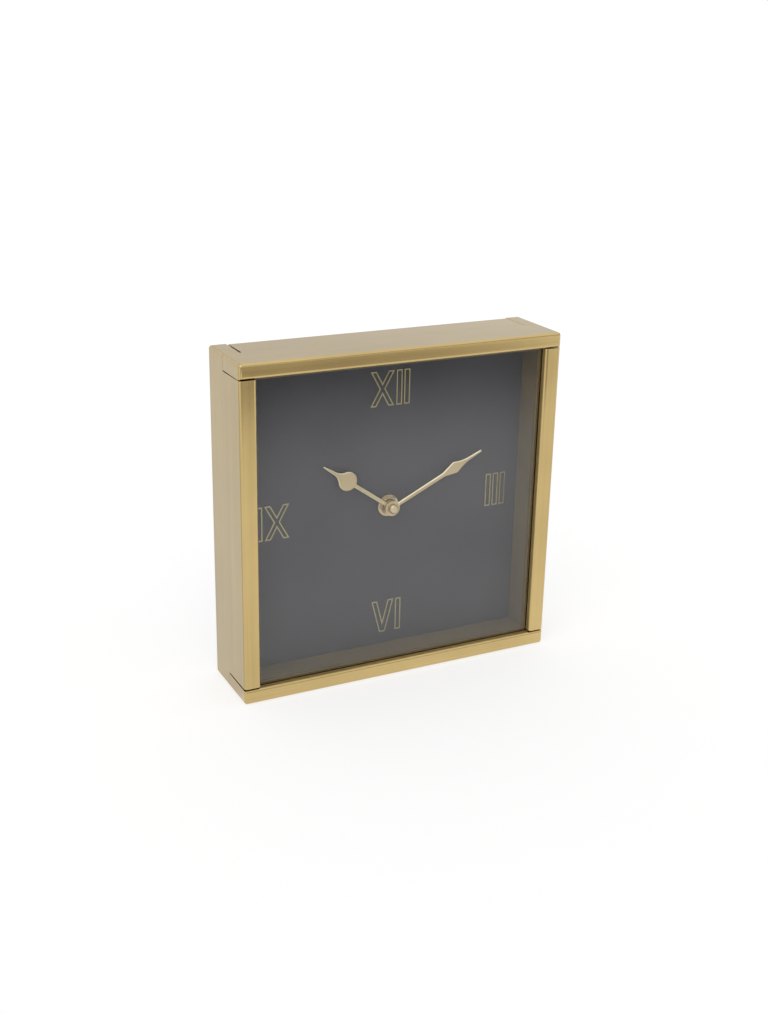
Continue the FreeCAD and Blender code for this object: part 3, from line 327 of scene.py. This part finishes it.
def wood(name, scale, dark, light, rough):
    """Grain along the axis in which scale is small."""
    material, tree, shader = start_material(name)
    vector = stretched(tree, scale)
    rings = put(tree, "ShaderNodeTexWave", {
        "Vector": vector, "Scale": 1.0, "Distortion": 5.0, "Detail": 3.0, "Detail Scale": 1.5})
    fibres = effect(tree, BRUSHING, vector=vector, broad_share=0.3)
    tone = mix(tree, 0.5, rings.outputs["Fac"], fibres)
    colour = ramp(tree, tone, [(0.2, dark), (0.8, light)])
    feed(tree, shader, colour, between(tree, fibres, rough, rough + 0.15))
    raise_bump(tree, shader, fibres, strength=0.3, distance=0.1 * MM)
    return material


def hardboard():
    """Pressed fibre board with a thin coat of black paint."""
    material, tree, shader = start_material("hardboard")
    vector = stretched(tree, EVEN)
    fibres = put(tree, "ShaderNodeTexNoise", {
        "Vector": vector, "Scale": 420.0, "Detail": 6.0, "Roughness": 0.7, "Distortion": 2.0})
    fibres = fibres.outputs["Fac"]
    patches = effect(tree, CLOUDS, vector=vector, scale=25.0)
    dark, light = (0.014, 0.013, 0.012), (0.036, 0.033, 0.030)
    colour = ramp(tree, mix(tree, 0.25, fibres, patches), [(0.1, dark), (0.9, light)])
    feed(tree, shader, colour, between(tree, fibres, 0.55, 0.8))
    raise_bump(tree, shader, fibres, strength=0.35, distance=0.1 * MM)
    return material


def sleeve_print():
    """A plain dark sleeve with a pale line and a lighter band at its positive end."""
    material, tree, shader = start_material("sleeve_print", coat_weight=0.4, coat_roughness=0.12)
    low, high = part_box("battery")
    along = put(tree, "ShaderNodeMapRange", {
        "Value": axis_of(tree, "X"), "From Min": low.x, "From Max": high.x}).outputs["Result"]
    dark, pale, band = (0.030, 0.034, 0.042), (0.50, 0.50, 0.48), (0.13, 0.14, 0.15)
    print_colour = ramp(
        tree, along, [(0, dark), (0.78, pale), (0.805, band), (0.95, pale)], "CONSTANT")
    patches = effect(tree, CLOUDS, vector=stretched(tree, EVEN), scale=120.0)
    worn = blend(tree, between(tree, patches, 0.0, 0.18), print_colour, grey(0.30))
    feed(tree, shader, worn, between(tree, patches, 0.28, 0.42))
    return material


# Dark and light shades of the metals
BRASS = (0.37, 0.265, 0.102), (0.535, 0.397, 0.167)
NUT_GILT = (0.54, 0.44, 0.27), (0.65, 0.54, 0.35)
HAND_GILT = (0.50, 0.396, 0.219), (0.60, 0.486, 0.284)
NUMERAL_GILT = (0.36, 0.315, 0.165), (0.44, 0.39, 0.205)
# Paler colour painted on the hands' bevelled edges, a painted highlight
PAINTED_EDGE_HIGHLIGHT = (0.95, 0.86, 0.60)
# Scales of brushing, which runs along the axis with the small number
ALONG_X, ALONG_Z = (9, 1300, 1300), (1300, 1300, 9)
SATIN = (700, 700, 700)

# A metal has its brushing, a dark and a light shade, and its least and greatest roughness
rail_brass = case_brass("rail_brass", ALONG_X)
side_brass = case_brass("side_brass", ALONG_Z)
hand_gilt = gilt_with_painted_edge_highlight()
nut_gilt = brushed_metal("nut_gilt", SATIN, *NUT_GILT, 0.26, 0.38)
numeral_gilt = brushed_metal("numeral_gilt", (500, 500, 500), *NUMERAL_GILT, 0.4, 0.55)
screw_zinc = brushed_metal(
    "screw_zinc", (600, 600, 600), (0.50, 0.50, 0.48), (0.66, 0.66, 0.64), 0.25, 0.45)
stamped_iron = brushed_metal(
    "stamped_iron", (40, 900, 900), (0.34, 0.33, 0.31), (0.46, 0.45, 0.43), 0.35, 0.55)
nickel_contact = brushed_metal(
    "nickel_contact", (900, 900, 60), (0.60, 0.58, 0.52), (0.74, 0.72, 0.66), 0.2, 0.4)
copper_wire = brushed_metal(
    "copper_wire", (6000, 60, 60), (0.45, 0.17, 0.07), (0.72, 0.33, 0.16), 0.3, 0.45)
crystal_can = brushed_metal(
    "crystal_can", (700, 700, 60), (0.60, 0.60, 0.59), (0.72, 0.72, 0.70), 0.2, 0.35)
can_steel = brushed_metal(
    "can_steel", SATIN, (0.56, 0.56, 0.55), (0.70, 0.70, 0.68), 0.22, 0.36)

# A plastic has a dark and a light shade, its grain, and its least and greatest roughness
liner_paint = moulded_plastic(
    "liner_paint", (0.110, 0.084, 0.042), (0.142, 0.109, 0.055), 900.0, 0.55, 0.7)
movement_plastic = moulded_plastic(
    "movement_plastic", (0.014, 0.014, 0.015), (0.022, 0.022, 0.023), 1100.0, 0.42, 0.55)
knob_plastic = moulded_plastic(
    "knob_plastic", (0.60, 0.58, 0.52), (0.66, 0.64, 0.58), 1300.0, 0.35, 0.45)
wheel_acetal = moulded_plastic(
    "wheel_acetal", (0.74, 0.71, 0.62), (0.80, 0.77, 0.68), 1500.0, 0.3, 0.42)
rotor_plastic = moulded_plastic(
    "rotor_plastic", (0.06, 0.06, 0.07), (0.09, 0.09, 0.10), 1500.0, 0.4, 0.5)
washer_rubber = moulded_plastic(
    "washer_rubber", (0.016, 0.016, 0.016), (0.028, 0.028, 0.027), 700.0, 0.75, 0.9)
board_mask = moulded_plastic(
    "board_mask", (0.010, 0.055, 0.022), (0.016, 0.080, 0.034), 1200.0, 0.3, 0.42)
chip_epoxy = moulded_plastic(
    "chip_epoxy", (0.010, 0.010, 0.010), (0.016, 0.016, 0.016), 1600.0, 0.4, 0.55)
block_pine = wood("block_pine", (160, 6, 160), (0.42, 0.27, 0.13), (0.58, 0.41, 0.22), 0.6)

FINISHES = {
    "case_brass": rail_brass,
    "glass": clear_glass(),
    "liner": liner_paint,
    "dial_paint": dial_paint(),
    "gilt": nut_gilt,
    "block_wood": block_pine,
    "screw_steel": screw_zinc,
    "cover_board": hardboard(),
    "rubber": washer_rubber,
    "movement_black": movement_plastic,
    "knob_plastic": knob_plastic,
    "wheel_plastic": wheel_acetal,
    "rotor_plastic": rotor_plastic,
    "iron": stamped_iron,
    "copper_wire": copper_wire,
    "circuit_green": board_mask,
    "chip_black": chip_epoxy,
    "crystal_can": crystal_can,
    "contact_metal": nickel_contact,
    "battery_wrap": sleeve_print(),
}
# Nodes whose finish differs from the rest of their slot
OWN_FINISHES = {
    "left_bar": side_brass,
    "right_bar": side_brass,
    "dial_numerals": numeral_gilt,
    "hour_hand": hand_gilt,
    "minute_hand": hand_gilt,
}


def finish_of(node):
    return OWN_FINISHES.get(node, FINISHES[slot_of[node]])


for name, node in nodes.items():
    node.material_slots[0].material = finish_of(name)


# Shaping by hand

# Corners closer than MERGE are one corner, edges flatter than FLAT go, and SHARP ones are rounded
MERGE = 0.001 * MM
FLAT = math.radians(1)
SHARP = math.radians(30)
# Sides of what is round
SIDES = 72


def take(piece):
    """Make a piece the only one that is selected."""
    bpy.ops.object.select_all(action="DESELECT")
    piece.select_set(True)
    bpy.context.view_layer.objects.active = piece


def round_edges(piece, width, segments=2):
    """Round the sharp edges of a piece and shade it smooth, with its flat faces left flat."""
    take(piece)
    rounding = piece.modifiers.new("rounding", "BEVEL")
    rounding.width = width
    rounding.segments = segments
    rounding.limit_method = "ANGLE"
    rounding.angle_limit = SHARP
    bpy.ops.object.modifier_apply(modifier=rounding.name)
    bpy.ops.object.shade_smooth_by_angle(angle=SHARP)
    flats = piece.modifiers.new("flats", "WEIGHTED_NORMAL")
    flats.keep_sharp = True
    bpy.ops.object.modifier_apply(modifier=flats.name)


def dress(piece, name, node, finish):
    """Name a piece, give it its finish and let it ride as a node does."""
    piece.name = name
    piece.data.materials.clear()
    piece.data.materials.append(finish)
    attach(piece, body_of[node])


def shift_ends(piece, half, along, shifts):
    """Shift both ends of a bar's shorter half along the bar, which sets the width of its seams.

    The bars lap just behind the middle. A rear half's whole end shifts; of a front half's end only
    the outer edge does, so that its seam tapers.
    """
    bpy.ops.mesh.select_mode(type="VERT")
    for pick, shift in zip((min, max), shifts):
        bpy.ops.mesh.select_all(action="DESELECT")
        mesh = bmesh.from_edit_mesh(piece.data)
        face = max(vertex.co.dot(half) for vertex in mesh.verts) - MERGE
        end = pick(vertex.co.dot(along) for vertex in mesh.verts if vertex.co.dot(half) > face)
        for vertex in mesh.verts:
            on_half = vertex.co.dot(half) > 0
            vertex.select_set(on_half and abs(vertex.co.dot(along) - end) < MERGE)
        bmesh.update_edit_mesh(piece.data)
        bpy.ops.transform.translate(value=along * shift)


def upright_seams(piece):
    """Widen the seam over the bottom rail and narrow the one under the top rail."""
    lower, upper = 0.25 * MM, 0.35 * MM
    shift_ends(piece, -TO_BACK, UPWARD, (lower, upper))


def top_seams(piece):
    """Widen the left one of the top rail's seams and narrow the right one."""
    sideways = 0.35 * MM
    shift_ends(piece, TO_BACK, ACROSS, (sideways, sideways))


def fill_spike(piece, more):
    """Draw the sides of a hand's spike apart, more and more to half way from its head to its tip."""
    centre = Vector(joint_place["minute_turn"])
    mesh = bmesh.from_edit_mesh(piece.data)
    arms = [Vector((vertex.co.x - centre.x, 0, vertex.co.z - centre.z)) for vertex in mesh.verts]
    along = max(arms, key=lambda arm: arm.length)
    length = along.length
    along = along.normalized()
    across = along.cross(TO_BACK)
    widest = max(arms, key=lambda arm: abs(arm.dot(across))).dot(along)
    for vertex, arm in zip(mesh.verts, arms):
        growth = min(max((arm.dot(along) - widest) / (length - widest) * 2, 0), 1)
        vertex.co += across * math.copysign(more * growth, arm.dot(across))
    bmesh.update_edit_mesh(piece.data)


def cut_edges(piece, inward, drop):
    """Bevel the front of a hand: draw its face in, and let its edge drop back."""
    bpy.ops.mesh.select_mode(type="FACE")
    bpy.ops.mesh.select_all(action="DESELECT")
    mesh = bmesh.from_edit_mesh(piece.data)
    fronts = [face for face in mesh.faces if face.normal.dot(TO_BACK) < -0.99]
    blade = max(fronts, key=lambda face: face.calc_area())
    blade.select_set(True)
    front = blade.verts[0].co.y
    bmesh.update_edit_mesh(piece.data)
    bpy.ops.mesh.inset(thickness=inward)
    mesh = bmesh.from_edit_mesh(piece.data)
    outline = [vertex for vertex in mesh.verts
               if not vertex.select and abs(vertex.co.y - front) < MERGE]
    bpy.ops.mesh.select_mode(type="VERT")
    bpy.ops.mesh.select_all(action="DESELECT")
    for vertex in outline:
        vertex.select_set(True)
    bmesh.update_edit_mesh(piece.data)
    bpy.ops.transform.translate(value=TO_BACK * drop)


def shape_hand(piece):
    """Fill out a hand's spike and cut its front edges."""
    fill_spike(piece, 0.2 * MM)
    cut_edges(piece, inward=0.45 * MM, drop=0.35 * MM)


def softened(node, width, segments=2, shape=None):
    """Stand in for a node by its own shape with rounded edges; shape works on it before that."""
    piece = bpy.data.objects.new(node, nodes[node].data.copy())
    bpy.context.scene.collection.objects.link(piece)
    take(piece)
    bpy.ops.object.mode_set(mode="EDIT")
    bpy.ops.mesh.select_all(action="SELECT")
    bpy.ops.mesh.customdata_custom_splitnormals_clear()
    bpy.ops.mesh.remove_doubles(threshold=MERGE)
    bpy.ops.mesh.dissolve_limited(angle_limit=FLAT)
    if shape:
        shape(piece)
    bpy.ops.object.mode_set(mode="OBJECT")
    round_edges(piece, width, segments)
    dress(piece, f"{node}_finished", node, finish_of(node))
    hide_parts(node)


def select_faces(piece, *directions):
    """Select the flat faces at the very ends of a piece in the given directions."""
    bpy.ops.mesh.select_mode(type="FACE")
    bpy.ops.mesh.select_all(action="DESELECT")
    mesh = bmesh.from_edit_mesh(piece.data)
    for direction in directions:
        reach = max(vertex.co.dot(direction) for vertex in mesh.verts) - MERGE
        for face in mesh.faces:
            if all(vertex.co.dot(direction) > reach for vertex in face.verts):
                face.select_set(True)
    bmesh.update_edit_mesh(piece.data)


def work_end(piece, direction, steps):
    """Work an end face inwards by (inset, rise) steps."""
    select_faces(piece, direction)
    for inset, height in steps:
        bpy.ops.mesh.inset(thickness=inset)
        if height:
            bpy.ops.mesh.extrude_region_move(
                TRANSFORM_OT_translate={"value": direction * height})


def start_rod(radius, ends, y, z):
    """Add a round bar along X and open it for shaping."""
    bpy.ops.object.select_all(action="DESELECT")
    bpy.ops.mesh.primitive_cylinder_add(
        vertices=SIDES, radius=radius, depth=ends[1] - ends[0],
        location=((ends[0] + ends[1]) / 2, y, z), rotation=(0, math.pi / 2, 0))
    bpy.ops.object.transform_apply(location=True, rotation=True, scale=True)
    bpy.ops.object.mode_set(mode="EDIT")
    return bpy.context.object


def battery_cell():
    """A drawn can with a raised cap and a dished base, in a shrunk sleeve that laps its ends."""
    low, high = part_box("battery")
    y, z = (low.y + high.y) / 2, (low.z + high.z) / 2
    radius = (high.z - low.z) / 2
    cap_height, cap_radius = 1.0 * MM, 2.7 * MM
    lap, groove, groove_depth = 1.3 * MM, 0.7 * MM, 0.4 * MM
    can_rounding, sleeve_rounding = 0.18 * MM, 0.3 * MM
    film = 0.12 * MM
    film_wall, rim_rounding = film * 0.8, film / 5
    sleeve_ends = (low.x, high.x - cap_height)
    can_radius = radius - film
    plus, minus = ACROSS, -ACROSS

    can = start_rod(can_radius, (sleeve_ends[0] + film, sleeve_ends[1] - film), y, z)
    shoulder = can_radius - lap - groove - cap_radius
    work_end(can, plus, [
        (lap, 0), (groove, -groove_depth), (shoulder, cap_height + groove_depth + film)])
    work_end(can, minus, [(lap, 0), (groove, -groove_depth), (groove, groove_depth)])
    bpy.ops.object.mode_set(mode="OBJECT")
    round_edges(can, can_rounding)
    dress(can, "battery_can", "battery", can_steel)
    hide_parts("battery")

    sleeve = start_rod(radius, sleeve_ends, y, z)
    for direction in (plus, minus):
        work_end(sleeve, direction, [(lap, 0)])
        bpy.ops.mesh.delete(type="FACE")
    bpy.ops.object.mode_set(mode="OBJECT")
    round_edges(sleeve, sleeve_rounding, 4)
    wall = sleeve.modifiers.new("wall", "SOLIDIFY")
    wall.thickness = film_wall
    wall.offset = -1
    bpy.ops.object.modifier_apply(modifier=wall.name)
    round_edges(sleeve, rim_rounding)
    dress(sleeve, "battery_sleeve", "battery", FINISHES["battery_wrap"])


def raise_ring(name, node, width, height):
    """Make the flat face that was just added into a low moulded ring on a node's back."""
    ring = bpy.context.object
    bpy.ops.object.transform_apply(location=True, rotation=True, scale=True)
    bpy.ops.object.mode_set(mode="EDIT")
    bpy.ops.mesh.select_all(action="SELECT")
    bpy.ops.mesh.inset(thickness=width)
    bpy.ops.mesh.delete(type="FACE")
    bpy.ops.mesh.select_all(action="SELECT")
    bpy.ops.mesh.extrude_region_move(TRANSFORM_OT_translate={"value": TO_BACK * height})
    bpy.ops.mesh.select_all(action="SELECT")
    bpy.ops.mesh.normals_make_consistent(inside=False)
    bpy.ops.object.mode_set(mode="OBJECT")
    round_edges(ring, height / 3)
    dress(ring, name, node, finish_of(node))


def lid_mouldings():
    """The raised border of the movement's lid, the collar round the knob and polarity marks."""
    low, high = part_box("movement_cover")
    knob_low, knob_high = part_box("set_knob")
    height, margin, width = 0.3 * MM, 2.2 * MM, 0.9 * MM
    collar_gap = 1.5 * MM
    facing_back = (-math.pi / 2, 0, 0)

    bpy.ops.object.select_all(action="DESELECT")
    middle = (low + high) / 2
    middle.y = high.y
    bpy.ops.mesh.primitive_plane_add(size=1, location=middle, rotation=facing_back)
    bpy.context.object.scale = (high.x - low.x - 2 * margin, high.z - low.z - 2 * margin, 1)
    raise_ring("lid_border", "movement_cover", width, height)

    bpy.ops.object.select_all(action="DESELECT")
    knob_x, _, knob_z = joint_place["set_turn"]
    knob_radius = (knob_high.x - knob_low.x) / 2
    bpy.ops.mesh.primitive_circle_add(
        vertices=SIDES, radius=knob_radius + collar_gap, fill_type="NGON",
        location=(knob_x, high.y, knob_z), rotation=facing_back)
    raise_ring("knob_collar", "movement_cover", width, height)

    mark, inset = 1.1 * MM, 5.4 * MM
    across, upright = (ACROSS, -ACROSS), (UPWARD, -UPWARD)
    for name, x, arms in (("plus_mark", high.x - inset, across + upright),
                          ("minus_mark", low.x + inset, across)):
        bpy.ops.object.select_all(action="DESELECT")
        bpy.ops.mesh.primitive_cube_add(
            size=mark, location=(x, high.y + height / 2, low.z + inset))
        sign = bpy.context.object
        sign.scale = (1, height / mark, 1)
        bpy.ops.object.transform_apply(location=True, rotation=True, scale=True)
        bpy.ops.object.mode_set(mode="EDIT")
        select_faces(sign, *arms)
        bpy.ops.mesh.extrude_faces_move(TRANSFORM_OT_shrink_fatten={"value": mark})
        bpy.ops.object.mode_set(mode="OBJECT")
        round_edges(sign, height / 3)
        dress(sign, name, "movement_cover", finish_of("movement_cover"))


BAR_ROUNDING = 0.3 * MM
HAND_BEVEL = 0.03 * MM
SOFT_EDGES = {
    "hand_nut": 0.25 * MM,
    "fixing_nut": 0.2 * MM,
    "brass_washer": 0.15 * MM,
    "movement_case": 0.3 * MM,
    "movement_cover": 0.3 * MM,
    "set_knob": 0.2 * MM,
    "back_cover": 0.4 * MM,
    "back_cover_screws": 0.15 * MM,
    "corner_screws": 0.15 * MM,
    "control_chip": 0.15 * MM,
    "positive_contact": 0.1 * MM,
    "negative_contact": 0.1 * MM,
    **{node: 0.5 * MM for node in nodes if node.startswith("corner_block")},
    "bottom_bar": BAR_ROUNDING,
}
for node, width in SOFT_EDGES.items():
    softened(node, width)
for node in ("left_bar", "right_bar"):
    softened(node, BAR_ROUNDING, shape=upright_seams)
softened("top_bar", BAR_ROUNDING, shape=top_seams)
for node in ("hour_hand", "minute_hand"):
    softened(node, HAND_BEVEL, 1, shape_hand)
battery_cell()
lid_mouldings()


# Stage

def backdrop():
    """Even light; the camera and glass see white, and metal a dimmer wall and a brighter ceiling."""
    daylight = 0.72
    wall, ceiling, left = (0.76, 0.73, 0.68), grey(1.3), grey(1.0)
    world = bpy.data.worlds.new("studio")
    bpy.context.scene.world = world
    world.use_nodes = True
    tree = world.node_tree
    light_path = put(tree, "ShaderNodeLightPath").outputs
    lighting = tree.nodes["Background"]
    lighting.inputs["Color"].default_value = grey(1)
    lighting.inputs["Strength"].default_value = daylight
    white = put(tree, "ShaderNodeBackground", {"Color": grey(1), "Strength": 1.0})
    upward, across = axis_of(tree, "Z", "Generated"), axis_of(tree, "X", "Generated")
    room = ramp(tree, upward, [(0.05, EVEN), (0.25, wall)])
    room = blend(tree, rise(tree, upward, 0.42, 0.62), room, ceiling)
    room = blend(tree, rise(tree, across, 0.2, -0.1), room, left)
    mirrored = put(tree, "ShaderNodeBackground", {"Color": room, "Strength": 1.0})
    seen = calculate(
        tree, "MAXIMUM", light_path["Is Camera Ray"], light_path["Is Transmission Ray"])
    direct = join(tree, seen, lighting.outputs["Background"], white.outputs["Background"])
    surface = join(tree, light_path["Is Glossy Ray"], direct, mirrored.outputs["Background"])
    tree.links.new(surface, tree.nodes["World Output"].inputs["Surface"])


# For metal and glass the floor holds a painted reflection: in front of the clock, but not far to the
# right, it is painted dark like a darker room, though the camera sees it white there. Each pair says
# where the painted dark begins and where it is full
METAL_FRONT, METAL_RIGHT = (-0.54, -0.62), (0.58, 0.48)
GLASS_FRONT, GLASS_RIGHT = (-0.32, -0.68), (1.10, 0.30)
PAPER = grey(0.42)


def painted_dark_zone(tree, x, y, front, right):
    """Go from 0 on the paper to 1 in the painted dark zone that only metal and glass see."""
    return calculate(tree, "MULTIPLY", rise(tree, x, *right), rise(tree, y, *front))


def paper_looks(tree):
    """The paper's glow and colour: white for the camera, and painted reflections for metal and glass, with a
    painted glow and a painted dark zone.
    """
    light_path = put(tree, "ShaderNodeLightPath").outputs
    in_glass, mirrored = light_path["Is Singular Ray"], light_path["Is Reflection Ray"]
    in_metal = calculate(tree, "SUBTRACT", light_path["Is Glossy Ray"], in_glass)
    x, y = axis_of(tree, "X"), axis_of(tree, "Y")

    metal_painted_dark_zone = painted_dark_zone(tree, x, y, METAL_FRONT, METAL_RIGHT)
    # Metal sees a painted glow of the floor, brighter just in front of the clock than behind it, and painted dark
    # brown in the zone beyond
    behind, before, painted_dark_brown = grey(0.8), grey(1.42), (0.12, 0.08, 0.04, 1)
    metal_sees = blend(tree, rise(tree, y, 0.0, -0.03), behind, before)
    metal_sees = blend(tree, metal_painted_dark_zone, metal_sees, painted_dark_brown)

    glass_painted_dark_zone = painted_dark_zone(tree, x, y, GLASS_FRONT, GLASS_RIGHT)
    # Glass sees a painted glow, brighter close to the clock, and painted dark in the zone beyond
    close = calculate(tree, "MAXIMUM", rise(tree, x, 0.10, 0.26), rise(tree, y, -0.24, -0.06))
    far_glow, close_glow, painted_dark_grey = grey(0.55), grey(0.9), grey(0.02)
    glass_mirrors = blend(tree, close, far_glow, close_glow)
    glass_sees = blend(tree, mirrored, grey(1), glass_mirrors)
    glass_sees = blend(tree, glass_painted_dark_zone, glass_sees, painted_dark_grey)
    glow = blend(tree, in_glass, blend(tree, in_metal, grey(1), metal_sees), glass_sees)

    # The paper's colour as glass sees it is painted darker, and darker still in the painted dark zone
    mirrored_paper, painted_dark_paper = grey(0.26), grey(0.1)
    glass_paper = blend(tree, mirrored, PAPER, mirrored_paper)
    glass_paper = blend(tree, glass_painted_dark_zone, glass_paper, painted_dark_paper)
    return glow, blend(tree, in_glass, PAPER, glass_paper)


def pale_floor():
    """A wide sheet of pale paper, just under the clock."""
    width, gap = 40, 0.05 * MM
    bpy.ops.mesh.primitive_plane_add(size=width, location=(0, 0, -gap))
    floor = bpy.context.object
    floor.name = "floor"
    material, tree, shader = start_material(
        "floor_paper", emission_strength=0.62, roughness=0.9)
    glow, colour = paper_looks(tree)
    tree.links.new(glow, shader.inputs["Emission Color"])
    tree.links.new(colour, shader.inputs["Base Color"])
    floor.data.materials.append(material)


def sun(name, energy, spread, direction):
    """Add a soft lamp that shines in a direction."""
    lamp = bpy.data.lights.new(name, "SUN")
    lamp.energy = energy
    lamp.angle = spread
    holder = bpy.data.objects.new(name, lamp)
    holder.rotation_euler = Vector(direction).to_track_quat("-Z", "Y").to_euler()
    bpy.context.scene.collection.objects.link(holder)


def camera():
    """The photograph's viewpoint, from a fit to the corners of the case."""
    place = (-0.33883, -0.66932, 0.37636)
    right = Vector((0.896005, -0.443659, 0.018479))
    up = Vector((0.138769, 0.319302, 0.937438))
    forward = Vector((0.421803, 0.837385, -0.347662))
    lens = bpy.data.cameras.new("photograph")
    lens.sensor_width = 36.0
    lens.lens = 47.96
    lens.clip_start = 0.01
    holder = bpy.data.objects.new("photograph", lens)
    turn = Matrix((right, up, -forward)).transposed().to_4x4()
    holder.matrix_world = Matrix.Translation(place) @ turn
    bpy.context.scene.collection.objects.link(holder)
    bpy.context.scene.camera = holder


bpy.ops.object.select_all(action="DESELECT")
backdrop()
pale_floor()
sun("key", energy=0.8, spread=math.radians(60), direction=(0.5, 0.6, -0.75))
camera()
bpy.context.scene.view_settings.view_transform = "Standard"
